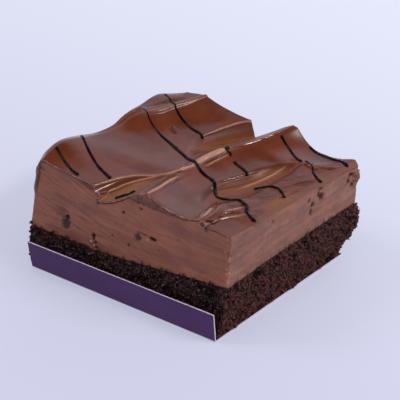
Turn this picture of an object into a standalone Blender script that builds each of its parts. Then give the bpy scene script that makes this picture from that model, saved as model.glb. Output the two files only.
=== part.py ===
"""A square chocolate mousse brownie on its folded card.

From the bottom up: an L-shaped card with a leaning front flap, a craggy chocolate sponge, a thick
block of chocolate mousse with a few burst air bubbles, and a thin skin of milk chocolate icing that
a palette knife has drawn into waves, with lines of dark chocolate drizzled over it.

Sizes are in millimetres, and MM turns them into Blender's metres. +X runs along the card's flap,
from the left of the cake to the right, +Y from the flap to the back, and +Z is up. The meshes are
made about the middle of the card, and the parent empty moves them so that the whole cake's box is
centred on the origin.
"""

import math

import bmesh
import bpy
from mathutils import Vector, noise

MM = 0.001

# Where the middle of the card lies, seen from the middle of the whole cake's box
CARD_OFFSET = Vector((1.0, 0.6, 0.0))
GAP = 0.3  # left between two pieces that touch

# The card: a base plate folded up at the front into a flap that leans out and twists a little
CARD_WIDTH = 80.0
CARD_FRONT = -41.0
CARD_BACK = 35.0
CARD_THICKNESS = 0.5
FLAP_HEIGHT = 11.0
FLAP_LEAN_LEFT = 2.4
FLAP_LEAN_RIGHT = 1.5

# The sponge: its sides at the bottom and at the top, as (left, right, front, back)
SPONGE_BOTTOM_SIDES = (-41.0, 40.2, -39.9, 34.2)
SPONGE_TOP_SIDES = (-44.3, 40.6, -37.4, 39.8)
SPONGE_BULGES = (1.3, 2.0, 1.1, 1.6)  # how far the left, right, front and back swell
SPONGE_BULGE_POWER = 2.4  # above 1 this moves the swelling up
SPONGE_CRAGS = ((6.5, 1.0), (2.6, 1.4))  # the torn crumb of the sides: how wide and how deep
FRONT_HELD_IN = 0.45  # share of all this that the flap leaves at the front
SPONGE_CUTS_ACROSS = 33
SPONGE_CUTS_UP = 6

# The sponge's top is level, but pressed down at the front, most of all on the left
SPONGE_HEIGHT = 19.2
SPONGE_DIP = 6.0
SPONGE_DIP_ENDS = -10.0  # the depth y behind which the top is level
SPONGE_DIP_REACH = 26.0
SPONGE_RISE_STARTS = -22.0
SPONGE_RISE_REACH = 78.0

# The mousse: its sides where it meets the sponge and where it meets the icing
MOUSSE_BOTTOM_SIDES = (-44.0, 41.2, -36.9, 40.4)
MOUSSE_TOP_SIDES = (-41.2, 41.8, -36.5, 39.5)
ICING_THICKNESS = 1.1

# Burst air bubbles in the cut faces: the middle, and the half sizes along X, Y and Z
BUBBLES = {
    "oval": ((-26.2, -37.2, 19.8), (1.5, 1.0, 2.6)),
    "slit": ((9.4, -37.2, 26.4), (2.6, 1.1, 0.9)),
    "pit": ((42.0, 16.4, 33.1), (1.0, 1.2, 2.1)),
    "nick": ((42.0, 12.2, 29.2), (1.0, 0.9, 1.9)),
}

# The lines that the palette knife left on the icing, each from the front to the back as
# (depth y, across x, height z). Between them the surface is swept, so these lines are the waves.
LEFT_EDGE = (
    (-36.5, -41.2, 37.2), (-33.0, -41.2, 40.6), (-28.8, -41.2, 42.2), (-24.5, -41.2, 42.8),
    (-19.7, -41.2, 42.2), (-12.5, -41.2, 40.4), (-7.0, -41.2, 38.9), (-1.9, -41.2, 37.9),
    (5.5, -41.2, 37.8), (10.0, -41.2, 39.2), (15.8, -41.2, 40.1), (21.0, -41.2, 39.7),
    (28.2, -41.2, 40.4), (33.0, -41.2, 40.0), (39.5, -41.2, 37.6),
)
LEFT_RIM = (
    (-36.5, -38.4, 41.3), (-31.0, -38.2, 42.8), (-25.5, -38.0, 43.6), (-18.0, -37.6, 42.4),
    (-11.0, -37.3, 40.4), (-3.0, -36.8, 39.0), (5.0, -36.3, 38.9), (11.0, -35.6, 40.3),
    (15.5, -33.2, 41.6), (20.0, -30.8, 42.0), (25.5, -29.2, 42.1), (32.5, -26.7, 42.2),
    (39.5, -24.8, 42.3),
)
FIRST_LIP = (
    (-36.5, -15.6, 39.2), (-32.3, -14.3, 39.0), (-28.2, -12.8, 39.0), (-25.1, -11.3, 39.0),
    (-22.4, -9.1, 39.0), (-20.2, -6.5, 38.9), (-18.2, -4.1, 38.9), (-15.4, -1.7, 39.1),
    (-12.0, 0.1, 39.4), (-8.0, -0.7, 39.0), (-2.0, -5.2, 38.1), (8.0, -10.0, 37.2),
    (17.0, -12.2, 36.9), (23.6, -11.4, 37.1), (30.8, -9.2, 37.5), (35.6, -6.4, 38.0), (39.5, -4.4, 38.2),
)
FIRST_ROLL = (
    (-36.5, -14.3, 35.9), (-33.1, -12.8, 36.2), (-30.0, -11.4, 36.6), (-27.0, -9.9, 37.1),
    (-24.2, -8.1, 37.5), (-21.5, -6.0, 38.0), (-19.2, -4.1, 38.4), (-17.0, -2.2, 38.7),
    (-14.5, -0.6, 39.2), (-12.0, 0.7, 39.4), (-8.0, 0.1, 39.0), (-2.0, -4.4, 38.1),
    (8.0, -9.2, 37.0), (17.0, -11.1, 35.6), (27.0, -9.2, 35.0), (39.5, -3.5, 34.9),
)
FIRST_FOOT = (
    (-36.5, -13.1, 33.2), (-33.0, -11.5, 34.2), (-30.0, -9.9, 35.1), (-27.0, -8.3, 36.0),
    (-24.0, -6.6, 36.8), (-21.5, -4.9, 37.4), (-19.0, -2.9, 38.0), (-17.0, -1.3, 38.4),
    (-14.5, 0.3, 39.0), (-12.0, 1.3, 39.4), (-8.0, 0.8, 39.0), (-2.0, -3.6, 38.1), (8.0, -8.2, 36.7),
    (17.0, -9.7, 34.0), (27.0, -7.6, 32.5), (39.5, -2.2, 31.8),
)
FIRST_WALL = (
    (-36.5, -2.9, 38.0), (-30.0, -2.2, 38.5), (-24.0, -1.0, 39.1), (-19.0, 0.3, 39.5),
    (-15.0, 1.3, 39.6), (-12.0, 1.9, 39.5), (-8.0, 1.5, 39.2), (-2.0, -1.8, 38.4), (8.0, -3.4, 37.7),
    (17.0, -2.6, 36.4), (27.0, 0.6, 35.9), (39.5, 5.6, 36.0),
)
MIDDLE_CREST = (
    (-36.5, 5.0, 42.7), (-30.6, 3.9, 41.9), (-26.5, 3.3, 41.3), (-21.5, 2.8, 40.7), (-17.0, 2.6, 40.1),
    (-12.0, 2.7, 39.8), (-6.0, 2.4, 39.5), (0.0, 1.4, 39.2), (5.0, 2.3, 39.6), (11.0, 3.3, 39.9),
    (14.2, 4.0, 39.4), (19.8, 6.2, 39.4), (24.9, 8.2, 39.8), (33.0, 11.0, 40.7), (39.5, 13.2, 41.6),
)
ROPE = (
    (-36.5, 7.4, 43.5), (-31.8, 6.9, 42.9), (-28.7, 6.6, 42.6), (-25.4, 6.1, 42.1), (-21.4, 5.4, 41.4),
    (-18.9, 5.0, 40.9), (-15.2, 4.6, 40.1), (-11.0, 4.3, 39.7), (-6.0, 4.0, 39.3), (0.0, 3.6, 38.9),
    (5.0, 4.3, 39.1), (11.0, 5.2, 39.5), (19.8, 7.8, 39.3), (24.9, 9.9, 39.7), (33.0, 13.0, 40.7),
    (39.5, 15.6, 41.8),
)
SECOND_LIP = (
    (-36.5, 16.5, 40.3), (-28.0, 15.8, 38.4), (-20.0, 14.8, 37.5), (-12.0, 13.4, 36.9),
    (-5.8, 13.6, 36.9), (-0.3, 15.0, 36.8), (4.9, 16.7, 36.7), (9.8, 17.4, 36.6), (14.0, 18.8, 36.6),
    (18.5, 21.2, 36.7), (22.5, 25.6, 37.2), (27.0, 28.2, 36.6), (33.0, 28.2, 35.4), (39.5, 26.8, 34.5),
)
SECOND_FOOT = (
    (-36.5, 22.6, 39.8), (-28.0, 21.5, 38.4), (-20.0, 18.6, 37.2), (-12.0, 16.6, 35.8),
    (-5.0, 17.2, 34.8), (5.0, 19.6, 34.2), (14.0, 22.4, 34.4), (19.0, 25.2, 35.6), (22.5, 27.6, 37.2),
    (27.0, 30.2, 36.8), (33.0, 31.6, 35.4), (39.5, 30.6, 34.4),
)
RIGHT_CREST = (
    (-36.5, 30.4, 42.2), (-33.0, 30.6, 41.9), (-29.0, 30.0, 41.7), (-26.0, 28.9, 41.4),
    (-23.6, 27.9, 40.7), (-21.0, 27.6, 40.0), (-18.0, 28.0, 39.4), (-13.8, 28.8, 38.7),
    (-9.0, 29.6, 38.2), (-4.0, 30.1, 37.9), (2.0, 30.4, 37.7), (9.0, 30.6, 37.7), (16.0, 30.6, 37.8),
    (22.5, 31.2, 38.5), (26.0, 33.6, 37.8), (31.0, 36.0, 36.8), (39.5, 38.0, 36.0),
)
RIGHT_FOOT = (
    (-36.5, 33.6, 38.6), (-31.0, 32.4, 39.0), (-27.4, 34.2, 38.8), (-23.8, 36.3, 38.6),
    (-20.0, 37.4, 38.4), (-14.0, 37.6, 38.2), (-4.0, 37.8, 37.6), (5.0, 38.4, 37.2), (14.0, 38.6, 36.9),
    (24.0, 38.9, 36.6), (31.0, 39.6, 36.6), (39.5, 40.4, 36.6),
)
RIGHT_EDGE = (
    (-36.5, 41.8, 38.7), (-30.9, 41.8, 38.2), (-25.0, 41.8, 37.8), (-19.0, 41.8, 37.8),
    (-13.4, 41.8, 38.0), (-7.5, 41.8, 37.9), (-2.0, 41.8, 37.6), (6.0, 41.8, 37.5), (12.0, 41.8, 37.4),
    (18.0, 41.8, 36.4), (28.0, 41.8, 36.0), (33.0, 41.8, 35.6), (39.5, 41.8, 34.9),
)

# The icing from each line to the next: how many strips the solid has there, how steeply it leaves the
# one line and meets the other (1 is straight), and how far it sags at the front, in the middle and at
# the back
SWEEPS = (
    (LEFT_EDGE, 2, 1.6, 0.0, (0.0, 0.0, 0.0)),
    (LEFT_RIM, 7, 2.1, 0.0, (-0.1, 0.7, -0.3)),
    (FIRST_LIP, 1, 1.5, 0.5, (0.0, 0.0, 0.0)),
    (FIRST_ROLL, 1, 0.4, 1.2, (0.0, 0.0, 0.0)),
    (FIRST_FOOT, 3, 0.5, 1.4, (0.2, 0.1, 0.0)),
    (FIRST_WALL, 2, 1.5, 0.6, (0.0, 0.0, 0.0)),
    (MIDDLE_CREST, 1, 0.6, 0.4, (0.0, 0.15, 0.1)),
    (ROPE, 4, 1.9, 0.1, (-0.4, 0.5, 0.3)),
    (SECOND_LIP, 2, 0.9, 0.3, (0.0, 0.2, 0.0)),
    (SECOND_FOOT, 3, 0.2, 1.5, (0.2, 0.2, 0.0)),
    (RIGHT_CREST, 2, 1.2, 0.9, (0.0, 0.0, 0.0)),
    (RIGHT_FOOT, 2, 0.4, 0.8, (0.0, 0.0, 0.0)),
    (RIGHT_EDGE, 0, 0.0, 0.0, (0.0, 0.0, 0.0)),
)
SAG_SETTLES = 18.0  # how far from the front or the back edge the middle's sag is reached
ROWS = 27  # sections of the icing from front to back

# Dark chocolate drizzle: each line's route over the icing, as (x, y)
DRIZZLE_RADIUS = 0.58
DRIZZLE_SINK = 0.12  # how far its middle lies under the icing's face
DRIZZLE_STEP = 2.0
DRIZZLE_ROUTES = {
    "left_corner": ((-38.5, -29.4), (-35.7, -30.7), (-31.1, -32.8), (-27.1, -34.4), (-23.6, -35.2)),
    "left": ((-39.6, -14.5), (-34.5, -18.2), (-29.6, -21.6), (-22.7, -25.6), (-16.8, -28.2), (-14.0, -29.6)),
    "long": (
        (-36.7, 17.4), (-29.6, 13.6), (-18.0, 8.6), (-9.7, 3.8), (-1.6, -0.6), (5.2, -4.0), (11.6, -5.6),
        (16.7, -10.9), (20.6, -13.7), (28.5, -14.2), (33.2, -15.8), (36.5, -19.9), (40.8, -22.0),
    ),
    "back": ((-38.8, 32.6), (-33.9, 29.5), (-26.9, 25.1), (-19.9, 23.2), (-11.8, 19.6)),
    "first_valley": ((-7.8, -34.6), (-4.7, -33.6), (-0.8, -33.6)),
    "knot": ((2.6, 14.6), (4.4, 13.0), (6.8, 11.0)),
    "middle": ((9.3, 9.9), (13.1, 9.0), (17.8, 6.0)),
    "right": ((13.3, 32.6), (19.1, 30.2), (23.6, 27.4), (27.1, 25.6)),
    "right_side": ((28.4, 27.4), (33.2, 23.4), (38.2, 18.9), (40.8, 17.3)),
    "hook": ((24.7, 0.4), (27.6, 2.2), (33.3, 2.7), (38.4, -1.2)),
    "back_edge": ((21.6, 38.6), (26.9, 37.8), (34.6, 36.6), (40.8, 33.8)),
}


def clear_scene():
    for obj in list(bpy.data.objects):
        bpy.data.objects.remove(obj, do_unlink=True)


def make_collection(name):
    collection = bpy.data.collections.new(name)
    bpy.context.scene.collection.children.link(collection)
    return collection


def make_material(name, color, roughness):
    material = bpy.data.materials.new(name)
    material.use_nodes = True
    shader = material.node_tree.nodes["Principled BSDF"]
    shader.inputs["Base Color"].default_value = (*color, 1.0)
    shader.inputs["Roughness"].default_value = roughness
    shader.inputs["Metallic"].default_value = 0.0
    material.diffuse_color = (*color, 1.0)
    return material


def add_object(name, bm, collection, parent, material, smooth_angle):
    """Turns a bmesh in millimetres into a named object in metres."""
    mesh = bpy.data.meshes.new(name)
    bmesh.ops.scale(bm, vec=(MM, MM, MM), verts=bm.verts)
    bmesh.ops.recalc_face_normals(bm, faces=bm.faces)
    bm.to_mesh(mesh)
    bm.free()
    mesh.materials.append(material)
    mesh.shade_smooth()
    mesh.set_sharp_from_angle(angle=math.radians(smooth_angle))
    obj = bpy.data.objects.new(name, mesh)
    collection.objects.link(obj)
    obj.parent = parent
    return obj


def smoothstep(t):
    t = min(1.0, max(0.0, t))
    return t * t * (3 - 2 * t)


def line_at(keys, y):
    """(x, z) of a palette knife line at depth y, on a Catmull-Rom curve through its keys."""
    last = len(keys) - 2
    k = next((i for i in range(last) if y < keys[i + 1][0]), last)
    before, start, end, after = (keys[min(max(k + j, 0), last + 1)] for j in (-1, 0, 1, 2))
    span = end[0] - start[0]
    t = min(1.0, max(0.0, (y - start[0]) / span))
    place = []
    for c in (1, 2):
        leave = span * (end[c] - before[c]) / (end[0] - before[0])
        arrive = span * (after[c] - start[c]) / (after[0] - start[0])
        place.append(
            (2 * t**3 - 3 * t**2 + 1) * start[c]
            + (t**3 - 2 * t**2 + t) * leave
            + (3 * t**2 - 2 * t**3) * end[c]
            + (t**3 - t**2) * arrive
        )
    return place


def sweep_share(leave, meet, t):
    """How far the icing has come from one line's height to the next one's, at share t of the way."""
    return (t**3 - 2 * t**2 + t) * leave + 3 * t**2 - 2 * t**3 + (t**3 - t**2) * meet


def icing_section(y):
    """The icing's upper face across the cake at depth y, as (x, z) from left to right."""
    section = []
    front, back = MOUSSE_TOP_SIDES[2:]
    from_front = smoothstep((y - front) / SAG_SETTLES)
    to_back = smoothstep((y - back + SAG_SETTLES) / SAG_SETTLES)
    for (keys, strips, leave, meet, sags), (next_keys, *_) in zip(SWEEPS, SWEEPS[1:]):
        x0, z0 = line_at(keys, y)
        x1, z1 = line_at(next_keys, y)
        sag = sags[0] + (sags[1] - sags[0]) * from_front
        sag += (sags[2] - sag) * to_back
        for i in range(strips):
            t = i / strips
            drop = sag * math.sin(math.pi * t)
            section.append((x0 + (x1 - x0) * t, z0 + (z1 - z0) * sweep_share(leave, meet, t) - drop))
    section.append(tuple(line_at(RIGHT_EDGE, y)))
    return section


def icing_height(x, y):
    section = icing_section(y)
    for (x0, z0), (x1, z1) in zip(section, section[1:]):
        if x <= x1:
            return z0 + (z1 - z0) * max(0.0, (x - x0) / (x1 - x0))
    return section[-1][1]


def sponge_top_height(x, y):
    forward = smoothstep((SPONGE_DIP_ENDS - y) / SPONGE_DIP_REACH)
    leftward = 1 - smoothstep((x - SPONGE_RISE_STARTS) / SPONGE_RISE_REACH)
    return SPONGE_HEIGHT - SPONGE_DIP * forward * leftward


def stretch(value, old, new):
    """Moves a value from one pair of limits to another."""
    return new[0] + (value - old[0]) * (new[1] - new[0]) / (old[1] - old[0])


def make_card(collection, parent):
    """An open sheet, folded at the front, that Solidify turns into card."""
    left, right = -CARD_WIDTH / 2, CARD_WIDTH / 2
    bm = bmesh.new()
    fold_left = bm.verts.new((left, CARD_FRONT, 0))
    fold_right = bm.verts.new((right, CARD_FRONT, 0))
    back_right = bm.verts.new((right, CARD_BACK, 0))
    back_left = bm.verts.new((left, CARD_BACK, 0))
    flap_left = bm.verts.new((left, CARD_FRONT - FLAP_LEAN_LEFT, FLAP_HEIGHT))
    flap_right = bm.verts.new((right, CARD_FRONT - FLAP_LEAN_RIGHT, FLAP_HEIGHT))
    bm.faces.new((fold_left, fold_right, back_right, back_left))
    bm.faces.new((fold_right, fold_left, flap_left, flap_right))
    material = make_material("card_purple", (0.06, 0.02, 0.11), 0.55)
    card = add_object("card", bm, collection, parent, material, 30)
    thickness = card.modifiers.new("card_thickness", "SOLIDIFY")
    thickness.thickness = CARD_THICKNESS * MM
    thickness.offset = -1.0
    thickness.use_even_offset = True


def merge_level_faces(bm, height):
    """Merges the many faces that lie in the level plane at height into one."""
    level = [v for v in bm.verts if abs(v.co.z - height) < 1e-5]
    inside = set(level)
    edges = [e for e in bm.edges if e.verts[0] in inside and e.verts[1] in inside]
    bmesh.ops.dissolve_limit(bm, angle_limit=0.0005, verts=level, edges=edges)


def torn_crumb(place):
    """How far a place on the sponge's side stands out or in."""
    return sum(depth * noise.noise(place / width) for width, depth in SPONGE_CRAGS) * 1.6


def sponge_side(u, v):
    """Which of the left, right, front and back a place on the rim of a -1 to 1 square belongs to."""
    if abs(u) > abs(v):
        return 1 if u > 0 else 0
    return 3 if v > 0 else 2


def make_sponge(collection, parent):
    """A cube cut into a grid, fitted between the card and the mousse, with torn sides."""
    bm = bmesh.new()
    bmesh.ops.create_cube(bm, size=2.0)
    upright = [e for e in bm.edges if abs(e.verts[0].co.z - e.verts[1].co.z) > 1]
    level = [e for e in bm.edges if e not in upright]
    bmesh.ops.subdivide_edges(bm, edges=level, cuts=SPONGE_CUTS_ACROSS, use_grid_fill=True)
    upright = [e for e in bm.edges if abs(e.verts[0].co.z - e.verts[1].co.z) > 1]
    bmesh.ops.subdivide_edges(bm, edges=upright, cuts=SPONGE_CUTS_UP, use_grid_fill=True)
    floor = CARD_THICKNESS + GAP
    for vert in bm.verts:
        u, v, w = vert.co
        up = (w + 1) / 2
        sides = [a + (b - a) * up for a, b in zip(SPONGE_BOTTOM_SIDES, SPONGE_TOP_SIDES)]
        x = stretch(u, (-1, 1), sides[:2])
        y = stretch(v, (-1, 1), sides[2:])
        outward = Vector((u if abs(u) > 0.999 else 0, v if abs(v) > 0.999 else 0, 0))
        if up > 0.01 and outward.length > 0:
            outward.normalize()
            bulge = SPONGE_BULGES[sponge_side(u, v)]
            reach = bulge * math.sin(math.pi * up**SPONGE_BULGE_POWER) + torn_crumb(Vector((x, y, 20 * up)))
            reach *= FRONT_HELD_IN if v < -0.999 else 1.0
            x += outward.x * reach
            y += outward.y * reach
        z = floor + (sponge_top_height(x, y) - floor) * up
        vert.co = (x, y, z)
    merge_level_faces(bm, floor)
    merge_level_faces(bm, SPONGE_HEIGHT)
    material = make_material("sponge_crumb", (0.045, 0.016, 0.010), 0.95)
    add_object("sponge", bm, collection, parent, material, 50)


def lay_grid(bm, lift):
    """Fills bm with the icing's upper face, each vertex raised by lift."""
    columns = len(icing_section(0.0))
    bmesh.ops.create_grid(bm, x_segments=columns - 1, y_segments=ROWS - 1, size=1.0)
    front, back = MOUSSE_TOP_SIDES[2:]
    for vert in bm.verts:
        column = round(stretch(vert.co.x, (-1, 1), (0, columns - 1)))
        y = stretch(vert.co.y, (-1, 1), (front, back))
        x, z = icing_section(y)[column]
        vert.co = (x, y, z + lift)


def close_downwards(bm, lower_place):
    """Extrudes the open sheet in bm and puts each copied vertex at lower_place of it."""
    made = bmesh.ops.extrude_face_region(bm, geom=list(bm.faces))
    for vert in (g for g in made["geom"] if isinstance(g, bmesh.types.BMVert)):
        vert.co = lower_place(vert.co)


def under_mousse(top):
    """The place on the mousse's underside that lies below a place on its top."""
    x = stretch(top.x, MOUSSE_TOP_SIDES[:2], MOUSSE_BOTTOM_SIDES[:2])
    y = stretch(top.y, MOUSSE_TOP_SIDES[2:], MOUSSE_BOTTOM_SIDES[2:])
    return Vector((x, y, sponge_top_height(x, y) + GAP))


def make_bubble(name, place, half_sizes, collection, parent):
    bm = bmesh.new()
    bmesh.ops.create_uvsphere(bm, u_segments=10, v_segments=6, radius=1.0)
    bmesh.ops.scale(bm, vec=half_sizes, verts=bm.verts)
    bmesh.ops.translate(bm, vec=place, verts=bm.verts)
    material = bpy.data.materials["mousse"]
    bubble = add_object("bubble_" + name, bm, collection, parent, material, 30)
    bubble.hide_render = True
    bubble.display_type = "WIRE"
    return bubble


def make_mousse(collection, cutters, parent):
    """The icing's waves a little lower, closed down to the sponge, with the bubbles cut out."""
    bm = bmesh.new()
    lay_grid(bm, -ICING_THICKNESS - GAP)
    close_downwards(bm, under_mousse)
    merge_level_faces(bm, SPONGE_HEIGHT + GAP)
    material = make_material("mousse", (0.26, 0.13, 0.08), 0.6)
    mousse = add_object("mousse", bm, collection, parent, material, 40)
    for name, (place, half_sizes) in BUBBLES.items():
        cut = mousse.modifiers.new("cut_" + name, "BOOLEAN")
        cut.operation = "DIFFERENCE"
        cut.object = make_bubble(name, place, half_sizes, cutters, parent)


def curve_through(points, step):
    """Points about a step apart on a Catmull-Rom curve through a route's own points."""
    ends = [points[0], *points, points[-1]]
    route = []
    for a, b, c, d in zip(ends, ends[1:], ends[2:], ends[3:]):
        a, b, c, d = (Vector(p) for p in (a, b, c, d))
        bend = 2 * a - 5 * b + 4 * c - d
        twist = 3 * b - a - 3 * c + d
        pieces = max(1, round((c - b).length / step))
        for i in range(pieces):
            t = i / pieces
            route.append(0.5 * (2 * b + (c - a) * t + bend * t**2 + twist * t**3))
    route.append(Vector(points[-1]))
    return route


def make_drizzle(name, route, collection, parent):
    """One line of drizzle as a round curve on the icing, made a mesh so that it can be joined."""
    curve = bpy.data.curves.new("drizzle_" + name, "CURVE")
    curve.dimensions = "3D"
    curve.bevel_depth = DRIZZLE_RADIUS * MM
    curve.bevel_resolution = 1
    curve.use_fill_caps = True
    places = curve_through(route, DRIZZLE_STEP)
    spline = curve.splines.new("POLY")
    spline.points.add(len(places) - 1)
    for point, place in zip(spline.points, places):
        height = icing_height(place.x, place.y) - DRIZZLE_SINK
        point.co = (place.x * MM, place.y * MM, height * MM, 1.0)
    guide = bpy.data.objects.new("guide_" + name, curve)
    collection.objects.link(guide)
    bpy.context.view_layer.update()
    graph = bpy.context.evaluated_depsgraph_get()
    mesh = bpy.data.meshes.new_from_object(guide.evaluated_get(graph))
    bm = bmesh.new()
    bm.from_mesh(mesh)
    bmesh.ops.remove_doubles(bm, verts=bm.verts, dist=0.00001)
    bmesh.ops.recalc_face_normals(bm, faces=bm.faces)
    bm.to_mesh(mesh)
    bm.free()
    line = bpy.data.objects.new("drizzle_" + name, mesh)
    collection.objects.link(line)
    line.matrix_world = guide.matrix_world
    line.parent = parent
    bpy.data.objects.remove(guide, do_unlink=True)
    bpy.data.curves.remove(curve)


def make_icing(collection, parent):
    """The thin wavy skin, with every line of drizzle fused to it by one Boolean union."""
    bm = bmesh.new()
    lay_grid(bm, 0.0)
    close_downwards(bm, lambda top: top - Vector((0, 0, ICING_THICKNESS)))
    material = make_material("icing", (0.20, 0.075, 0.035), 0.25)
    icing = add_object("icing", bm, collection, parent, material, 40)
    drizzles = make_collection("drizzles")
    for name, route in DRIZZLE_ROUTES.items():
        make_drizzle(name, route, drizzles, parent)
    join = icing.modifiers.new("join_drizzle", "BOOLEAN")
    join.operation = "UNION"
    join.operand_type = "COLLECTION"
    join.collection = drizzles
    bpy.context.view_layer.update()
    graph = bpy.context.evaluated_depsgraph_get()
    joined = bpy.data.meshes.new_from_object(icing.evaluated_get(graph))
    icing.modifiers.clear()
    icing.data = joined
    for line in list(drizzles.objects):
        bpy.data.objects.remove(line, do_unlink=True)
    bpy.data.collections.remove(drizzles)


def main():
    clear_scene()
    cake = make_collection("brownie")
    cutters = make_collection("cutters")
    cutters.hide_render = True
    middle = bpy.data.objects.new("brownie_middle", None)
    cake.objects.link(middle)
    middle.location = CARD_OFFSET * MM
    make_card(cake, middle)
    make_sponge(cake, middle)
    make_mousse(cake, cutters, middle)
    make_icing(cake, middle)


main()
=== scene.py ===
import math

import bmesh
import bpy
import numpy as np
from mathutils import Matrix, Vector, noise


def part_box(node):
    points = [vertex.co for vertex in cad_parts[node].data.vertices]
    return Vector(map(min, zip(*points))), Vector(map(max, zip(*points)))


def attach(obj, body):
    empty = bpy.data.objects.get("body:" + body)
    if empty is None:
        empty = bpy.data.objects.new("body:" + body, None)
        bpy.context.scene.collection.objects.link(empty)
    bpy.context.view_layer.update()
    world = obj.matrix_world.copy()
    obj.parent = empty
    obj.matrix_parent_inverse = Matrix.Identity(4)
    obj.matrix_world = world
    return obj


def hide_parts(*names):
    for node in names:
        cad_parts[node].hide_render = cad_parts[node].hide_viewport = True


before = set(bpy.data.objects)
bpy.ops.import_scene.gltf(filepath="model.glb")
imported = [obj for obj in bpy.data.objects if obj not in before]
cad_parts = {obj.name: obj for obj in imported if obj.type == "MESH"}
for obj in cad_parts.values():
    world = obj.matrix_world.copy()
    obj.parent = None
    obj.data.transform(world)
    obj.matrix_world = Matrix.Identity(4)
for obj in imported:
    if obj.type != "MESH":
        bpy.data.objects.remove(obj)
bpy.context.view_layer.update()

# Everything below is in millimetres, measured from the place on the table under the cake that is
# halfway along the card and 35 mm before its back edge. addPiece turns it into metres in the frame.
# +X runs to the right along the flap, and +Y to the back.
mm = 0.001
cardLow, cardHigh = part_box("card")
cardBack = 35.0  # the card's back edge
cakeMiddle = np.array(((cardLow.x + cardHigh.x) / 2, cardHigh.y - cardBack * mm, 0.0))
print("frame loaded:", ", ".join(sorted(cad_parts)))


# Camera: the photo's viewing place, with a long lens
cameraLook = {
    "turn": 36.11,  # degrees round the cake from its front, to the right
    "height": 28.09,  # degrees above the table
    "roll": 1.5,
    "distance": 750.0,
    "target": (-4.22, 8.96, 18.0),
    "lens": 189.6,
}


def setCamera(look):
    turn, height, roll = (math.radians(look[key]) for key in ("turn", "height", "roll"))
    back = Vector((math.sin(turn) * math.cos(height), -math.cos(turn) * math.cos(height), math.sin(height)))
    level = Vector((math.cos(turn), math.sin(turn), 0.0))
    upright = back.cross(level)
    right = level * math.cos(roll) + upright * math.sin(roll)
    up = upright * math.cos(roll) - level * math.sin(roll)
    place = (Vector(look["target"]) + back * look["distance"]) * mm + Vector(cakeMiddle)
    camera = bpy.data.objects.new("camera", bpy.data.cameras.new("camera"))
    bpy.context.scene.collection.objects.link(camera)
    camera.matrix_world = Matrix.Translation(place) @ Matrix((right, up, back)).transposed().to_4x4()
    camera.data.sensor_width = 36.0
    camera.data.lens = look["lens"]
    camera.data.clip_start = 0.01
    bpy.context.scene.camera = camera
    print("camera set:", look["distance"], "mm from its target")


setCamera(cameraLook)


# Shared helpers for shapes

def smoothstep(t):
    t = np.clip(t, 0.0, 1.0)
    return t * t * (3 - 2 * t)


def lump(value, middle, reach):
    # 1 at the middle, falling smoothly to 0 at the reach on either side
    return 1 - smoothstep(np.abs(value - middle) / reach)


def grain(points, size, seed=0.0):
    # soft noise, about -1 to 1, with lumps of the given size at each point
    stretched = np.asarray(points) / size + seed
    return np.array([noise.noise(point) for point in stretched.tolist()]) * 1.6


def gridIds(grid, made=0):
    # vertex numbers for a grid of points, after the ones already made
    return made + np.arange(grid.shape[0] * grid.shape[1]).reshape(grid.shape[:2])


def ringIds(ids):
    # the same numbers with the first column again after the last, so that the grid closes to a ring
    return np.concatenate([ids, ids[:, :1]], axis=1)


def gridFaces(ids):
    quads = np.stack([ids[:-1, :-1], ids[:-1, 1:], ids[1:, 1:], ids[1:, :-1]], axis=-1)
    return quads.reshape(-1, 4).tolist()


# the outward direction of each side of the cake, in the order in which gridSides gives them
outward = {"front": (0, -1, 0), "right": (1, 0, 0), "back": (0, 1, 0), "left": (-1, 0, 0)}


def gridSides(ids):
    # the four sides of a grid of vertex numbers, anticlockwise seen from above, from corner to corner
    return [ids[0, :], ids[:, -1], ids[-1, ::-1], ids[::-1, 0]]


def zipRuns(outer, inner):
    # triangles between two runs of vertices with unlike counts
    faces = []
    i = j = 0
    outerLast, innerLast = len(outer) - 1, len(inner) - 1
    while i < outerLast or j < innerLast:
        if j == innerLast or (i < outerLast and (i + 1) * innerLast <= (j + 1) * outerLast):
            faces.append((outer[i], outer[i + 1], inner[j]))
            i += 1
        else:
            faces.append((outer[i], inner[j + 1], inner[j]))
            j += 1
    return faces


def addPiece(name, points, faces, materials, replaced=None, marks=None, faceMaterials=None):
    mesh = bpy.data.meshes.new(name)
    places = np.asarray(points) * mm + cakeMiddle
    mesh.from_pydata(places.tolist(), [], [tuple(int(v) for v in face) for face in faces])
    for markName, values in (marks or {}).items():
        mark = mesh.attributes.new(markName, "FLOAT", "POINT")
        mark.data.foreach_set("value", np.asarray(values, dtype=np.float32))
    for material in materials:
        mesh.materials.append(material)
    if faceMaterials is not None:
        mesh.polygons.foreach_set("material_index", np.asarray(faceMaterials, dtype=np.int32))
    mesh.shade_smooth()
    piece = bpy.data.objects.new(name, mesh)
    bpy.context.scene.collection.objects.link(piece)
    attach(piece, "root")
    if replaced:
        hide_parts(replaced)
    triangles = sum(len(face.vertices) - 2 for face in mesh.polygons)
    print(name, "made:", len(mesh.vertices), "points,", triangles, "triangles")
    return piece


# Shared helpers for finishes

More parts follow.
